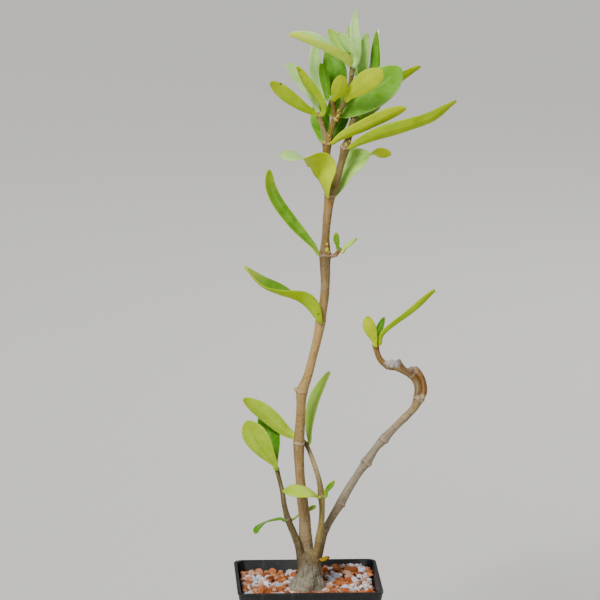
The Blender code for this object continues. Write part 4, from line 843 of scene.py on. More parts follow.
def drop_grains(draw, look):
    """Drops grains into the pot one by one, and lets each roll until it rests on the others."""
    lying = np.zeros((0, 4))
    wall = taper_half(GRIT_LEVEL - WALL_DEPTH) - WALL_GAP
    for _ in range(look.throws):
        radius = (look.smallest + (look.largest - look.smallest) * draw.random() ** SMALL_BIAS) / 2 / MM
        limit = wall - radius * WALL_SHARE
        clear = CAUDEX_CLEAR + radius * CAUDEX_SHARE

        def rest(x, y):
            """How high the grain would rest there, or far up where it can't lie."""
            if max(abs(x), abs(y)) > limit or math.hypot(x - CAUDEX_AXIS[0], y - CAUDEX_AXIS[1]) < clear:
                return math.inf
            away = (lying[:, 0] - x) ** 2 + (lying[:, 1] - y) ** 2
            reach = ((lying[:, 3] + radius) * TOUCH_SHARE) ** 2
            near = away < reach
            held = lying[near, 2] + np.sqrt(reach[near] - away[near])
            return max(BED_LEVEL + radius * BED_SHARE, float(held.max()) if near.any() else 0.0)

        x, y = draw.uniform(-limit, limit), draw.uniform(-limit, limit)
        height = rest(x, y)
        for _ in range(ROLLS):
            roll_x = x + draw.uniform(-ROLL_REACH, ROLL_REACH)
            roll_y = y + draw.uniform(-ROLL_REACH, ROLL_REACH)
            lower = rest(roll_x, roll_y)
            if lower < height:
                x, y, height = roll_x, roll_y, lower
        if height + radius * TOP_SHARE < grit_height(x, y):
            lying = np.vstack([lying, (x, y, height, radius)])
    return lying


def add_grain(bm, draw, centre, radius, tone):
    """One grain: the hull of points thrown on a stretched and turned ball."""
    layer = bm.verts.layers.float_vector["grain_tone"]
    turn = Matrix.Rotation(draw.uniform(0, math.tau), 3, "Z")
    turn = turn @ Matrix.Rotation(draw.uniform(-GRAIN_TILT, GRAIN_TILT), 3, "X")
    stretch = Vector([draw.uniform(*span) for span in GRAIN_STRETCH])
    corners = []
    for _ in range(GRAIN_CORNERS):
        way = Vector([draw.gauss(0, 1) for _ in range(3)]).normalized()
        offset = turn @ (way * stretch) * radius * draw.uniform(*GRAIN_REACH)
        corner = bm.verts.new((Vector(centre) + offset) * MM)
        corner[layer] = tone
        corners.append(corner)
    hull = bmesh.ops.convex_hull(bm, input=corners)
    inner = [item for item in hull["geom_interior"] if isinstance(item, bmesh.types.BMVert)]
    bmesh.ops.delete(bm, geom=inner, context="VERTS")


def grain_surface(title, face, dark, dust, stain, pore_depth):
    """A porous mineral grain: broken faces, pores darkened as painted shade, and a dusting, each grain a
    little different.
    """
    material, tree, shader = new_material(title, {"Specular IOR Level": 0.25})
    place = add_node(tree, "ShaderNodeTexCoord")["Object"]
    tone = add_node(tree, "ShaderNodeSeparateXYZ", {
        0: add_node(tree, "ShaderNodeAttribute", attribute_name="grain_tone")["Vector"],
    })
    # Pores are about 0.7 mm wide and the clouds of colour 2.5 mm, the sizes seen on such grains.
    pores = add_node(tree, "ShaderNodeTexVoronoi", {"Vector": place, "Scale": 1400.0}, feature="SMOOTH_F1")[0]
    clouds = add_node(tree, "ShaderNodeTexNoise", {"Vector": place, "Scale": 400.0, "Detail": 4.0})["Fac"]
    fine = add_node(tree, "ShaderNodeTexNoise", {"Vector": place, "Scale": 1800.0, "Detail": 3.0})["Fac"]
    pore_shade = add_node(tree, "ShaderNodeMapRange", {"Value": pores, "From Min": 0.28, "From Max": 0.08})[0]
    dusty = add_node(tree, "ShaderNodeMapRange", {"Value": clouds, "From Min": 0.45, "From Max": 0.7})[0]
    stained = add_node(tree, "ShaderNodeMapRange", {"Value": tone[2], "From Min": 0.62, "From Max": 0.95})[0]
    # The dark pores are painted shade.
    colour = layered(tree, face, [
        (tone[0], 0.8, dark), (tone[1], 0.6, dust), (stained, 0.6, stain), (dusty, 0.4, dust),
        (pore_shade, 0.4, dark),
    ])
    height = add_node(tree, "ShaderNodeMath", {0: pores, 1: fine}, operation="ADD")[0]
    finish_surface(tree, shader, colour, height, pore_depth, clouds, 0.86)
    return material


class PLANT_OT_grit(bpy.types.Operator):
    """Fills the pot with grains of fired clay and pumice over a bed of finer grit"""
    bl_idname = "plant.grit"
    bl_label = "Grit"

    def execute(self, context):
        look = context.scene.plant_grit
        draw = random.Random(look.seed)
        heaps = {}
        for name in ("clay", "pumice"):
            heaps[name] = bmesh.new()
            heaps[name].verts.layers.float_vector.new("grain_tone")
        for x, y, height, radius in drop_grains(draw, look):
            in_patch = any(math.hypot(x - at_x, y - at_y) < reach for at_x, at_y, reach in PALE_PATCHES)
            pale = draw.random() < (PALE_IN_PATCH if in_patch else PALE_ELSEWHERE)
            tone = [draw.random() ** bias for bias in TONE_BIAS]
            add_grain(heaps["pumice" if pale else "clay"], draw, (x, y, height), radius, tone)
        surfaces = {
            "clay": grain_surface("fired clay grain", look.clay, "#5C2A10", "#C68450", "#D2B49C", 0.14),
            "pumice": grain_surface("pumice grain", look.pumice, "#A0989A", "#E6E8F2", "#C08C64", 0.18),
        }
        for name, surface in surfaces.items():
            mesh = mesh_from(heaps[name], name + "_grains")
            mesh.shade_smooth()
            mesh.set_sharp_from_angle(angle=GRAIN_EDGE_ANGLE)
            link_piece(name + "_grains", mesh, [surface], ["grit"])
        levels = [
            (taper_half(FLOOR) - BED_INSET, FLOOR + BED_LIFT),
            (taper_half(BED_LEVEL) - BED_INSET, BED_LEVEL),
        ]
        bed = mesh_from(square_tower(levels, POT_CORNER), "grit_bed")
        # The bed shows only in the gaps between grains, and its dark colour is painted shade there.
        fines_in_shade = grain_surface("fine clay grit", linear("#5A3420"), "#2A1810", "#7A5A44", "#6A4A34", 0.3)
        link_piece("grit_bed", bed, [fines_in_shade], ["grit"])
        return {"FINISHED"}


def spline_points(points, count_between):
    """A smooth curve through the points, as a list of vectors of any length."""
    given = [Vector(point) for point in points]
    ends = [given[0] * 2 - given[1], *given, given[-1] * 2 - given[-2]]
    smooth = []
    for before, start, end, after in zip(ends, ends[1:], ends[2:], ends[3:]):
        for step in range(count_between):
            t = step / count_between
            smooth.append(
                0.5 * (2 * start + (end - before) * t + (2 * before - 5 * start + 4 * end - after) * t * t
                       + (3 * start - before - 3 * end + after) * t ** 3)
            )
    return [*smooth, given[-1]]


def add_tube(bm, points):
    """Adds a round bar with filled ends through points of x, y, z and diameter."""
    curve = bpy.data.curves.new("tube", "CURVE")
    curve.dimensions = "3D"
    curve.bevel_depth = MM
    curve.bevel_resolution = TUBE_RESOLUTION
    curve.use_fill_caps = True
    spline = curve.splines.new("POLY")
    spline.points.add(len(points) - 1)
    for place, (x, y, z, diameter) in zip(spline.points, points):
        place.co = (x * MM, y * MM, z * MM, 1.0)
        place.radius = diameter / 2
    bm.from_mesh(take_mesh(add_object("tube", curve)))


def add_ball(bm, centre, radius):
    """Adds a ball."""
    bmesh.ops.create_icosphere(
        bm, subdivisions=3, radius=radius * MM, matrix=Matrix.Translation(Vector(centre) * MM),
    )


def caudex_body(bm):
    """Adds the swollen base: a turned body whose root ribs spread just above the grit."""
    profile = spline_points([(radius, height) for height, radius in CAUDEX_PROFILE], CAUDEX_STEPS)
    turned = bmesh.new()
    side = [turned.verts.new((radius * MM, 0, height * MM)) for radius, height in profile]
    edges = [turned.edges.new(pair) for pair in zip(side, side[1:])]
    bmesh.ops.spin(
        turned, geom=side + edges, cent=(0, 0, 0), axis=(0, 0, 1), angle=math.tau,
        steps=CAUDEX_SIDES, use_merge=True, use_duplicate=False,
    )
    bmesh.ops.remove_doubles(turned, verts=turned.verts, dist=MERGE_GAP * MM)
    bmesh.ops.holes_fill(turned, edges=[edge for edge in turned.edges if edge.is_boundary])
    for corner in turned.verts:
        angle = math.atan2(corner.co.y, corner.co.x)
        height = corner.co.z / MM
        above = smooth_step(*RIBS_GROW, height) * (1 - smooth_step(*RIBS_FADE, height))
        valley = 0.5 - 0.5 * math.cos(ROOT_RIBS * angle + RIB_TURN)
        bump = noise.noise(Vector((math.cos(angle), math.sin(angle), height * BUMP_RISE)) * BUMP_SCALE)
        rib = 1.0 - above * RIB_DEPTH * valley + CAUDEX_BUMPS * bump
        lean = CAUDEX_LEAN * MM * smooth_step(GRIT_LEVEL, GRIT_LEVEL + LEAN_RISE, height)
        corner.co.x = corner.co.x * rib + lean
        corner.co.y *= rib
    bmesh.ops.translate(turned, verts=turned.verts, vec=Vector((*CAUDEX_AXIS, 0)) * MM)
    bm.from_mesh(mesh_from(turned, "caudex_body"))


# Samples of the wood, each field one array: the middle of the branch, its direction and radius there, the
# distance and the share of the branch's length so far, and the number of the branch.
Samples = namedtuple("Samples", "centre way radius along share branch")


def wood_samples():
    """Samples along the middle of the base and of every branch, and the names of these in order."""
    rows = []
    base = [(*CAUDEX_AXIS, height, 2 * radius) for height, radius in CAUDEX_PROFILE if height < BASE_TOP]
    lines = {"base": base[::-1], **BRANCHES}
    for number, points in enumerate(lines.values()):
        line = [np.array(point) for point in spline_points(points, SAMPLE_STEPS)]
        steps = [np.linalg.norm((after - before)[:3]) for before, after in zip(line, line[1:])]
        lengths = np.concatenate([[0.0], np.cumsum(steps)])
        for place, point in enumerate(line):
            way = (line[min(place + 1, len(line) - 1)] - line[max(place - 1, 0)])[:3]
            way = way / np.linalg.norm(way)
            share = lengths[place] / lengths[-1]
            rows.append((*point[:3], *way, point[3] / 2, lengths[place], share, number))
    table = np.array(rows)
    return Samples(table[:, :3], table[:, 3:6], *table[:, 6:].T), list(lines)


def nearest_samples(points, samples, block=2000):
    """For each point, the number of the sample whose branch surface it is nearest to."""
    found = np.empty(len(points), dtype=int)
    for start in range(0, len(points), block):
        some = points[start:start + block]
        away = np.linalg.norm(some[:, None, :] - samples.centre[None], axis=2) - samples.radius[None]
        found[start:start + block] = away.argmin(axis=1)
    return found


def spread_over_edges(mesh, values, rounds):
    """Evens out values between neighbouring points."""
    pairs = np.empty(len(mesh.edges) * 2, dtype=np.int32)
    mesh.edges.foreach_get("vertices", pairs)
    first, second = pairs.reshape(-1, 2).T
    count = np.bincount(np.concatenate([first, second]), minlength=len(values))[:, None]
    for _ in range(rounds):
        total = np.zeros_like(values)
        np.add.at(total, first, values[second])
        np.add.at(total, second, values[first])
        values = KEPT_TONE * values + (1 - KEPT_TONE) * total / count
    return values


def ring_marks(points, bark, samples):
    """The lift of the leaf scar rings at each point, and the marks of rings, of the painted shade in the
    creases below them, and of the foot's pale streaks, which are partly painted highlights.
    """
    ridge = np.zeros(len(points))
    marks = np.zeros((len(points), 3))
    # The foot of the stems is marked for pale streaks, partly greyer bark and partly painted highlights.
    marks[:, 2] = np.clip((PALE_FOOT_BELOW - points[:, 2]) / PALE_FOOT_FADE, 0, 1)
    turn = np.arctan2(bark[:, 1], bark[:, 0])
    for name, rings in RINGS.items():
        for number, strength, paleness in rings:
            *centre, diameter = BRANCHES[name][number]
            near = np.linalg.norm(points - centre, axis=1) < diameter + RING_REACH
            sample = np.linalg.norm(samples.centre - centre, axis=1).argmin()
            level = ((points - centre) * samples.way[sample]).sum(axis=1)
            level += RING_SWAY * np.sin(RING_SWAYS * turn + number)
            line = near * np.exp(-(level / RING_WIDTH) ** 2)
            crease = near * np.exp(-((level + CREASE_BELOW) / CREASE_WIDTH) ** 2)
            swelling = near * np.exp(-(level / SWELLING_WIDTH) ** 2)
            shape = RING_LIFT * line + SWELLING_LIFT * swelling - CREASE_CUT * crease
            ridge = np.maximum(ridge, strength * shape)
            marks[:, 0] = np.maximum(marks[:, 0], line * paleness)
            # The crease mark darkens the crease below the ring: painted shade.
            marks[:, 1] = np.maximum(marks[:, 1], crease * strength)
    return ridge, marks


def bark_relief(bark):
    """Long ridges with wrinkles across them, at each point of the bark's own coordinates."""
    relief = np.zeros(len(bark))
    for across, along, height in (RIDGES, WRINKLES):
        for place, (x, y, z) in enumerate(bark):
            relief[place] += height * noise.noise(Vector((x * across, y * across, z * along)))
    return relief


def bark_tones(mesh, points, at, names):
    """The colour of the bark at each point, from its branch, partly painted light, and from the knobs near
    it.
    """
    tones = np.empty((len(points), 4))
    for number, name in enumerate(names):
        stops = np.array([linear(code) for code in BARK[name]])
        chosen = at.branch == number
        for channel, levels in enumerate(stops.T):
            tones[chosen, channel] = np.interp(at.share[chosen], np.linspace(0, 1, len(stops)), levels)
    tones = spread_over_edges(mesh, tones, TONE_ROUNDS)
    for x, y, z, size, code in KNOBS:
        near = np.clip(KNOB_REACH - np.linalg.norm(points - (x, y, z), axis=1) / size, 0, 1)[:, None]
        tones = tones * (1 - near) + np.array(linear(code)) * near
    return spread_over_edges(mesh, tones, KNOB_ROUNDS)


def dress_bark(mesh, look):
    """Raises the scar rings and the bark's relief, and records its colours and its own coordinates."""
    points = np.empty(len(mesh.vertices) * 3)
    normals = np.empty_like(points)
    mesh.vertices.foreach_get("co", points)
    mesh.vertex_normals.foreach_get("vector", normals)
    points = points.reshape(-1, 3) / MM
    normals = normals.reshape(-1, 3)

    samples, names = wood_samples()
    nearest = nearest_samples(points, samples)
    at = Samples(*(values[nearest] for values in samples))
    offset = points - at.centre
    along = at.along + (offset * at.way).sum(axis=1)
    right = np.cross(at.way, (0.0, 1.0, 0.0))
    right /= np.linalg.norm(right, axis=1)[:, None]
    front = np.cross(at.way, right)
    # The bark's own coordinates: the branch as if it were straight, so that a pattern runs along it.
    bark = np.stack([(offset * right).sum(axis=1), (offset * front).sum(axis=1), along], axis=1)
    shifted = bark + at.branch[:, None] * BRANCH_SHIFT

    ridge, marks = ring_marks(points, bark, samples)
    lift = bark_relief(shifted) * look.roughness / MM * np.clip(at.radius / RELIEF_RADIUS, *RELIEF_RANGE)
    lift += ridge * look.ridge / MM
    points += normals * lift[:, None]
    mesh.vertices.foreach_set("co", (points * MM).ravel())
    write_layer(mesh, "bark_mm", "FLOAT_VECTOR", "vector", shifted)
    write_layer(mesh, "bark_tone", "FLOAT_COLOR", "color", bark_tones(mesh, points, at, names))
    write_layer(mesh, "bark_marks", "FLOAT_VECTOR", "vector", marks)
    mesh.update()


def bark_surface():
    """Smooth thin bark of a woody succulent: pale dry film in streaks, dark lenticels, chalky scar rings with
    painted shade in the creases below them, and pale streaks on the foot that are partly painted highlights.
    """
    material, tree, shader = new_material("thin smooth bark", {"Specular IOR Level": 0.18})
    place, tone, marks = (
        add_node(tree, "ShaderNodeAttribute", attribute_name=name)[kind]
        for name, kind in (("bark_mm", "Vector"), ("bark_tone", "Color"), ("bark_marks", "Vector"))
    )
    ring, crease, foot = add_node(tree, "ShaderNodeSeparateXYZ", {0: marks})
    # Streaks are 1 mm wide and 10 mm long, and the clouds of film 5 mm. Lenticels are dots of about 0.8 mm in
    # some of the cells 2 mm wide, coarser than real so that they show.
    drawn_out, wrapped, squashed = (
        add_node(tree, "ShaderNodeMapping", {"Vector": place, "Scale": scale})[0]
        for scale in ((1.0, 1.0, 0.1), (0.25, 0.25, 1.6), (0.5, 0.5, 0.75))
    )
    streaks, clouds, fine, cracks = (
        add_node(tree, "ShaderNodeTexNoise", {"Vector": where, "Scale": scale, "Detail": detail})["Fac"]
        for where, scale, detail in (
            (drawn_out, 1.1, 3.0), (place, 0.2, 4.0), (place, 2.4, 3.0), (wrapped, 1.0, 3.0),
        )
    )
    cells = add_node(tree, "ShaderNodeTexVoronoi", {"Vector": squashed, "Scale": 1.0})
    chosen = add_node(tree, "ShaderNodeSeparateColor", {0: cells["Color"]})[0]
    few = add_node(tree, "ShaderNodeMath", {0: chosen, 1: 0.7}, operation="GREATER_THAN")[0]
    dot, film, light, dark, crack, broken, dry = (
        add_node(tree, "ShaderNodeMapRange", {"Value": value, "From Min": low, "From Max": high})[0]
        for value, low, high in (
            (cells["Distance"], 0.30, 0.16), (clouds, 0.46, 0.72), (streaks, 0.5, 0.72), (streaks, 0.48, 0.3),
            (cracks, 0.4, 0.3), (fine, 0.38, 0.6), (streaks, 0.36, 0.72),
        )
    )
    # On the foot, pale streaks grey the bark in part and are painted highlights in part.
    lenticel, chalk, foot_grey_and_highlit = (
        add_node(tree, "ShaderNodeMath", {0: first, 1: second}, operation="MULTIPLY")[0]
        for first, second in ((dot, few), (ring, broken), (dry, foot))
    )
    # The crease layer is painted shade in the creases below the rings.
    colour = layered(tree, tone, [
        (film, 0.16, "#B9AE92"), (light, 0.2, "#BDAF8E"), (dark, 0.36, "#4A3A20"), (crack, 0.30, "#48361C"),
        (lenticel, 0.75, "#30261A"), (ring, 0.3, "#C4AE90"), (chalk, 0.8, "#D8C6B4"),
        (crease, 0.45, "#3E2C16"), (foot_grey_and_highlit, 0.42, "#A49E94"),
    ])
    height = add_node(tree, "ShaderNodeMath", {0: streaks, 1: fine}, operation="ADD")[0]
    height = add_node(tree, "ShaderNodeMath", {0: height, 1: lenticel}, operation="SUBTRACT")[0]
    finish_surface(tree, shader, colour, height, 0.10, clouds, 0.62)
    return material


class PLANT_OT_wood(bpy.types.Operator):
    """Grows the caudex and all its stems as one body of bark"""
    bl_idname = "plant.wood"
    bl_label = "Woody stems"

    def execute(self, context):
        look = context.scene.plant_wood
        bm = bmesh.new()
        caudex_body(bm)
        for points in BRANCHES.values():
            add_tube(bm, spline_points(points, TUBE_STEPS))
            *end, diameter = points[-1]
            add_ball(bm, end, diameter * END_SHARE)
        for x, y, z, radius, _ in KNOBS:
            add_ball(bm, (x, y, z), radius)
        body = add_object("wood_body", mesh_from(bm, "wood_body"))
        skin = body.modifiers.new("one skin", "REMESH")
        skin.mode = "VOXEL"
        skin.voxel_size = look.voxel
        soften = body.modifiers.new("softened joints", "SMOOTH")
        soften.factor = JOINT_SOFTENING
        soften.iterations = JOINT_ROUNDS
        mesh = take_mesh(body)
        dress_bark(mesh, look)
        mesh.materials.clear()
        mesh.shade_smooth()
        stands_for = ["caudex", "stem_main", "stem_left", "stem_middle", "stem_hooked", "shoot_middle"]
        link_piece("woody_stems", mesh, [bark_surface()], stands_for)
        return {"FINISHED"}


def leaf_midrib(leaf):
    """The leaf's midrib from its root in the stem to its tip, and the distance of each point along it."""
    points = BRANCHES[leaf.branch]
    centre = Vector(points[leaf.point][:3])
    last = Vector(points[min(leaf.point + 1, len(points) - 1)][:3])
    first = Vector(points[max(leaf.point - 1, 0)][:3])
    axis = (last - first).normalized()
    heading = (Vector(leaf.route[0]) - centre).normalized()
    outward = (heading - axis * heading.dot(axis)).normalized()
    radius = points[leaf.point][3] / 2
    root = centre + outward * (radius - STALK_ROOT)
    free = centre + outward * (radius + STALK_FREE)
    line = [root, *spline_points([free, *leaf.route], CURVE_STEPS)]
    lengths = [0.0]
    for before, after in zip(line, line[1:]):
        lengths.append(lengths[-1] + (after - before).length)
    return line, lengths


def blend_faces(faces, t):
    """The direction of the upper face at a share t of the leaf's length."""
    if len(faces) == 1:
        return Vector(faces[0])
    place = t * (len(faces) - 1)
    start = min(int(place), len(faces) - 2)
    return Vector(faces[start]).lerp(Vector(faces[start + 1]), place - start)


def smooth_step(low, high, value):
    """A share that eases from 0 at the low value to 1 at the high one."""
    share = max(0.0, min(1.0, (value - low) / (high - low)))
    return share * share * (3 - 2 * share)


def half_width(leaf, t, length):
    """Half the blade's width at a share t of its length: a flared stalk that widens to the blade."""
    widest, bluntness = leaf.full
    swell = math.sin(math.pi * min(1.0, t) ** widest) ** bluntness if 0 < t < 1 else 0.0
    stalk = min(STALK_WIDTH, leaf.width * STALK_SHARE)
    stalk *= 1.0 + STALK_FLARE * math.exp(-t * length / FLARE_LENGTH)
    stalk += (TIP_WIDTH - stalk) * smooth_step(*STALK_TAPER, t)
    blade = leaf.width * swell
    return (blade + stalk + math.sqrt((blade - stalk) ** 2 + (STALK_EASE * stalk) ** 2)) / 4


def place_along(line, lengths, wanted):
    """The point at a distance along a line, and the line's direction there."""
    step = max(1, next((i for i, reach in enumerate(lengths) if reach >= wanted), len(line) - 1))
    share = (wanted - lengths[step - 1]) / (lengths[step] - lengths[step - 1])
    centre = line[step - 1].lerp(line[step], min(1.0, share))
    return centre, (line[min(step + 1, len(line) - 1)] - line[max(step - 2, 0)]).normalized()


def leaf_blade(leaf, seed, look):
    """The middle surface of a leaf: a grid bent along its midrib, with its thickness as a point group."""
    line, lengths = leaf_midrib(leaf)
    length = lengths[-1]
    bm = bmesh.new()
    bmesh.ops.create_grid(bm, x_segments=LEAF_CELLS[0], y_segments=LEAF_CELLS[1], size=1.0)
    place_layer = bm.verts.layers.float_vector.new("blade_mm")
    share_layer = bm.verts.layers.float_vector.new("blade_share")
    thick_layer = bm.verts.layers.deform.verify()
    for corner in bm.verts:
        u, side = (corner.co.x + 1) / 2, corner.co.y
        t = EVEN_ROWS * u + (1 - EVEN_ROWS) * math.sin(math.pi / 2 * u)
        wanted = t * length
        centre, along = place_along(line, lengths, wanted)
        upper = blend_faces(leaf.faces, t)
        upper = (upper - along * upper.dot(along)).normalized()
        across = upper.cross(along)
        reach = half_width(leaf, t, length)
        blade = smooth_step(*BLADE_GROWS, reach)
        swing = math.sin(seed * SEED_TURN + t * length / WAVE_PACE + side * WAVE_SLANT)
        wave = swing * look.wave / MM * blade * abs(side) ** 3
        groove = look.groove / MM * math.exp(-(side * reach / GROOVE_WIDTH) ** 2) * blade
        groove *= 1 - smooth_step(*GROOVE_ENDS, t)
        rise = leaf.cup * side * side * reach + wave - groove
        corner.co = (centre + across * side * reach + upper * rise) * MM
        corner[place_layer] = (wanted, side * reach, seed * SEED_STEP)
        corner[share_layer] = (t, side, seed * SEED_TINT % 1.0)
        body = look.middle + (look.margin - look.middle) * side * side
        stalk = min(look.stalk, leaf.width * THIN_STALK * MM)
        corner[thick_layer][0] = (stalk + (body - stalk) * blade) / look.stalk
    mesh = bpy.data.meshes.new(leaf.name + "_blade")
    bm.to_mesh(mesh)
    bm.free()
    mesh.shade_smooth()
    return mesh


def dead_spot(tree, colour, place, pits, centre, radius):
    """Lays a small dead spot with a ragged rim over a colour."""
    away = add_node(tree, "ShaderNodeVectorMath", {0: place, 1: centre}, operation="DISTANCE")["Value"]
    ragged = add_node(tree, "ShaderNodeMath", {0: pits, 1: radius, 2: away}, operation="MULTIPLY_ADD")[0]
    dead = add_node(tree, "ShaderNodeMapRange", {
        "Value": ragged, "From Min": 1.6 * radius, "From Max": 1.1 * radius,
    })[0]
    return layered(tree, colour, [(dead, 0.85, "#3E2A14")])


def leaf_skin(skin, spots_at):
    """Leathery waxed leaf skin: mottled colour, midrib, side veins, a fine vein net, freckles, and a whitish
    bloom that is partly painted sheen.
    """
    material, tree, shader = new_material(skin.title, {
        "IOR": 1.42, "Specular IOR Level": 0.14, "Subsurface Weight": 0.12,
        "Subsurface Radius": (0.6, 1.0, 0.1), "Subsurface Scale": 0.9 * MM,
        "Sheen Weight": 0.1 * skin.bloom, "Sheen Roughness": 0.5,
    })
    place, shares = (
        add_node(tree, "ShaderNodeAttribute", attribute_name=name)["Vector"]
        for name in ("blade_mm", "blade_share")
    )
    along, across, _ = add_node(tree, "ShaderNodeSeparateXYZ", {0: place})
    t, side, tint = add_node(tree, "ShaderNodeSeparateXYZ", {0: shares})
    wide, edge = (
        add_node(tree, "ShaderNodeMath", {0: value}, operation="ABSOLUTE")[0] for value in (across, side)
    )
    # A flushed skin shows its margin colour on one side only, from the midrib outwards.
    *margin, margin_share = (side, 0.0, 0.6, 0.9) if skin.flushed else (edge, 0.84, 1.0, 0.6)
    # Mottling is 7 mm wide, the vein net 1.5 mm, side veins 4 mm apart, and the skin's pits 0.6 mm.
    mottle, pits = (
        add_node(tree, "ShaderNodeTexNoise", {"Vector": place, "Scale": scale, "Detail": 3.0})["Fac"]
        for scale in (0.14, 1.6)
    )
    net = add_node(
        tree, "ShaderNodeTexVoronoi", {"Vector": place, "Scale": 0.65}, feature="DISTANCE_TO_EDGE",
    )["Distance"]
    spots = add_node(tree, "ShaderNodeTexVoronoi", {"Vector": place, "Scale": 0.45})
    chosen = add_node(tree, "ShaderNodeSeparateColor", {0: spots["Color"]})[0]
    slant = add_node(tree, "ShaderNodeMath", {0: wide, 1: -0.9, 2: along}, operation="MULTIPLY_ADD")[0]
    sway = add_node(tree, "ShaderNodeMath", {0: mottle, 1: 5.0, 2: slant}, operation="MULTIPLY_ADD")[0]
    vein_gap = add_node(tree, "ShaderNodeMath", {0: sway, 1: 2.0}, operation="PINGPONG")[0]
    masks = {}
    for name, value, low, high in (
        ("mottle", mottle, 0.36, 0.66), ("midrib", wide, 0.95, 0.3), ("vein", vein_gap, 0.6, 0.1),
        ("net", net, 0.16, 0.02), ("margin", *margin), ("tip", t, 0.72, 1.0), ("stalk", t, 0.22, 0.02),
        ("spot", spots["Distance"], 0.17, 0.1), ("few", chosen, 0.84, 0.86), ("inner", t, 0.98, 0.75),
        ("pale", pits, 0.5, 0.75),
    ):
        masks[name] = add_node(
            tree, "ShaderNodeMapRange", {"Value": value, "From Min": low, "From Max": high},
            interpolation_type="SMOOTHSTEP",
        )[0]
    midrib, freckle = (
        add_node(tree, "ShaderNodeMath", {0: masks[first], 1: masks[second]}, operation="MULTIPLY")[0]
        for first, second in (("midrib", "inner"), ("spot", "few"))
    )
    # The pale patches are partly waxy bloom and partly painted sheen.
    colour = layered(tree, linear(skin.face), [
        (masks["mottle"], 1.0, skin.mottle), (tint, 0.25, skin.mottle),
        (masks["net"], 0.55 * skin.net, skin.vein), (masks["vein"], 0.6 * skin.side_veins, skin.vein),
        (midrib, skin.rib, skin.vein),
        (masks["stalk"], 0.6, skin.vein), (masks["tip"], 0.6, skin.tip),
        (masks["margin"], margin_share, skin.margin), (masks["pale"], 0.4 * skin.bloom, "#E4F0DC"),
        (freckle, 0.7 * skin.freckles, "#6A4A12"),
    ])
    for centre, radius in spots_at:
        colour = dead_spot(tree, colour, place, pits, centre, radius)
    height = pits
    for name, depth in (("net", -0.35 * skin.net), ("vein", -0.6 * skin.side_veins)):
        height = add_node(
            tree, "ShaderNodeMath", {0: masks[name], 1: depth, 2: height}, operation="MULTIPLY_ADD",
        )[0]
    finish_surface(tree, shader, colour, height, 0.10, mottle, skin.rough)
    return material


class PLANT_OT_leaves(bpy.types.Operator):
    """Grows every leaf as a blade of its own with its stalk in the bark"""
    bl_idname = "plant.leaves"
    bl_label = "Leaves"

    def execute(self, context):
        look = context.scene.plant_leaf
        skins = {}
        for title, skin in LEAF_SKINS.items():
            spots_at = [
                ((along, across, seed * SEED_STEP), radius)
                for seed, leaf in enumerate(LEAVES) if title in leaf.skins
                for along, across, radius in BLEMISHES.get(leaf.name, ())
            ]
            skins[title] = leaf_skin(skin, spots_at)
        for seed, leaf in enumerate(LEAVES):
            faces = [skins[title] for title in leaf.skins]
            mesh = leaf_blade(leaf, seed, look)
            blade = link_piece(leaf.name + "_blade", mesh, faces, [leaf.name])
            blade.vertex_groups.new(name="thickness")
            wall = blade.modifiers.new("blade thickness", "SOLIDIFY")
            wall.thickness = look.stalk
            wall.offset = 0.0
            wall.vertex_group = "thickness"
            wall.material_offset = 1
            wall.material_offset_rim = 1
            rounding = blade.modifiers.new("rounded margins", "SUBSURF")
            rounding.levels = 1
            rounding.render_levels = 1
        return {"FINISHED"}


def bud_surface(title, face, dark):
    """A fleshy bud scale: waxy, with darker streaks."""
    material, tree, shader = new_material(title, {"Subsurface Weight": 0.1, "Subsurface Scale": 0.5 * MM})
    place = add_node(tree, "ShaderNodeTexCoord")["Object"]
    # Streaks about 0.8 mm wide on buds of 2 to 3 mm.
    streaks = add_node(tree, "ShaderNodeTexNoise", {"Vector": place, "Scale": 1200.0, "Detail": 3.0})["Fac"]
    mask = add_node(tree, "ShaderNodeMapRange", {"Value": streaks, "From Min": 0.4, "From Max": 0.65})[0]
    colour = layered(tree, linear(face), [(mask, 0.8, dark)])
    finish_surface(tree, shader, colour, streaks, 0.06, streaks, 0.5)
    return material


def add_bud_scale(bm, draw, seat, length, outer, surface):
    """One scale of a bud: a ball that narrows upwards and leans. Outer ones are small and shifted."""
    radius = length * (SCALE_SHARE if outer else 1.0) / 2 * MM
    around, up = BUD_CELLS
    ball = bmesh.ops.create_uvsphere(bm, u_segments=around, v_segments=up, radius=radius)["verts"]
    for corner in ball:
        rise = max(0.0, corner.co.z / radius)
        width = BUD_WIDTH * (1 - BUD_NARROWS * rise ** 2)
        corner.co.x *= width
        corner.co.y *= width
    lean = Matrix.Rotation(draw.uniform(*SIDE_LEAN), 3, "Y")
    lean = lean @ Matrix.Rotation(draw.uniform(*FRONT_LEAN), 3, "X")
    bmesh.ops.rotate(bm, verts=ball, matrix=lean)
    if outer:
        seat = seat + Vector((draw.uniform(*SIDE_SHIFT), draw.uniform(*BACK_SHIFT), -SCALE_DROP)) * length
    bmesh.ops.translate(bm, verts=ball, vec=seat * MM)
    for corner in ball:
        for face in corner.link_faces:
            face.material_index = surface


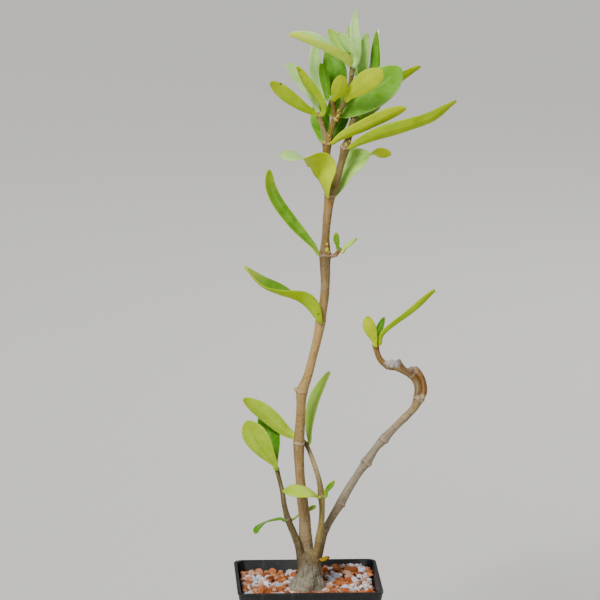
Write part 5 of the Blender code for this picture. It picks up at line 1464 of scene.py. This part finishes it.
class PLANT_OT_buds(bpy.types.Operator):
    """Sets the small buds and scales into the leaf axils"""
    bl_idname = "plant.buds"
    bl_label = "Buds"

    def execute(self, context):
        draw = random.Random(BUD_SEED)
        bm = bmesh.new()
        samples, _ = wood_samples()
        for x, y, z, length, surface in BUDS:
            # The bud is drawn back from its place in the list until it sits in the nearest bark.
            nearest = nearest_samples(np.array([(x, y, z)]), samples)[0]
            core = Vector(samples.centre[nearest])
            outward = (Vector((x, y, z)) - core).normalized()
            seat = core + outward * (samples.radius[nearest] + BUD_STANDS_OUT * length)
            for number in range(SCALE_COUNT):
                add_bud_scale(bm, draw, seat, length, number > 0, 1 if number else surface)
        mesh = mesh_from(bm, "axil_buds")
        mesh.shade_smooth()
        young = bud_surface("yellow bud scale", "#D8C824", "#A8A010")
        dry = bud_surface("dry bud scale", "#C08C48", "#7C4A1C")
        link_piece("axil_buds", mesh, [young, dry], ["bud_middle"])
        return {"FINISHED"}


def add_light(name, kind, power, heading):
    """Adds a light that shines along a heading. Returns its settings and its object."""
    lamp = bpy.data.lights.new(name, kind)
    lamp.energy = power
    holder = add_object(name, lamp)
    holder.rotation_euler = heading.to_track_quat("-Z", "Y").to_euler()
    return lamp, holder


class PLANT_OT_stage(bpy.types.Operator):
    """Sets up the camera, the pale floor and the soft lights"""
    bl_idname = "plant.stage"
    bl_label = "Stage"

    def execute(self, context):
        look = context.scene.plant_stage
        bm = bmesh.new()
        bmesh.ops.create_grid(bm, x_segments=1, y_segments=1, size=FLOOR_REACH)
        mesh = mesh_from(bm, "studio_floor")
        paper, tree, shader = new_material("matt studio paper", {"Roughness": 0.9})
        place = add_node(tree, "ShaderNodeTexCoord")["Object"]
        grain = add_node(tree, "ShaderNodeTexNoise", {"Vector": place, "Scale": 3.0, "Detail": 2.0})["Fac"]
        colour = layered(tree, look.floor, [(grain, 0.06, "#C8C6C2")])
        tree.links.new(colour, shader.inputs["Base Color"])
        mesh.materials.append(paper)
        add_object("studio_floor", mesh)

        for name, (width, position) in SOFT_BOXES.items():
            heading = Vector(LIGHT_AIM) - Vector(position)
            lamp, holder = add_light(name + "_light", "AREA", getattr(look, name), heading)
            lamp.size = width
            holder.location = position
            holder.visible_camera = False
        lamp, _ = add_light("key_light", "SUN", look.key, Vector(KEY_HEADING))
        lamp.angle = math.radians(KEY_SPREAD)

        world = bpy.data.worlds.new("studio air")
        world.use_nodes = True
        air = world.node_tree.nodes["Background"].inputs
        air["Color"].default_value = linear(AIR_COLOUR)
        air["Strength"].default_value = AIR_STRENGTH
        context.scene.world = world

        lens = bpy.data.cameras.new("camera")
        lens.lens = CAMERA_LENS
        lens.clip_end = CLIP_END
        camera = add_object("camera", lens)
        turn, fall = math.radians(CAMERA_TURN), math.radians(CAMERA_FALL)
        view = Vector((-math.sin(turn) * math.cos(fall), math.cos(turn) * math.cos(fall), -math.sin(fall)))
        camera.location = Vector(CAMERA_AT) * MM
        camera.rotation_euler = view.to_track_quat("-Z", "Y").to_euler()
        context.scene.camera = camera
        return {"FINISHED"}


OPERATORS = (PLANT_OT_pot, PLANT_OT_grit, PLANT_OT_wood, PLANT_OT_leaves, PLANT_OT_buds, PLANT_OT_stage)


class PLANT_PT_sidebar(bpy.types.Panel):
    """Lists the settings and the steps that build the plant"""
    bl_idname = "PLANT_PT_sidebar"
    bl_label = "Potted ant plant"
    bl_space_type = "VIEW_3D"
    bl_region_type = "UI"
    bl_category = "Plant"

    def draw(self, context):
        for name, group in GROUPS.items():
            box = self.layout.box()
            for setting in group.__annotations__:
                box.prop(getattr(context.scene, name), setting)
        for operator in OPERATORS:
            self.layout.operator(operator.bl_idname)


def register():
    for kind in (*GROUPS.values(), *OPERATORS, PLANT_PT_sidebar):
        bpy.utils.register_class(kind)
    for name, group in GROUPS.items():
        setattr(bpy.types.Scene, name, PointerProperty(type=group))


def unregister():
    for name in GROUPS:
        delattr(bpy.types.Scene, name)
    for kind in (PLANT_PT_sidebar, *OPERATORS, *GROUPS.values()):
        bpy.utils.unregister_class(kind)


def main():
    register()
    bpy.ops.plant.pot()
    bpy.ops.plant.grit()
    bpy.ops.plant.wood()
    bpy.ops.plant.leaves()
    bpy.ops.plant.buds()
    bpy.ops.plant.stage()


if __name__ == "__main__":
    main()
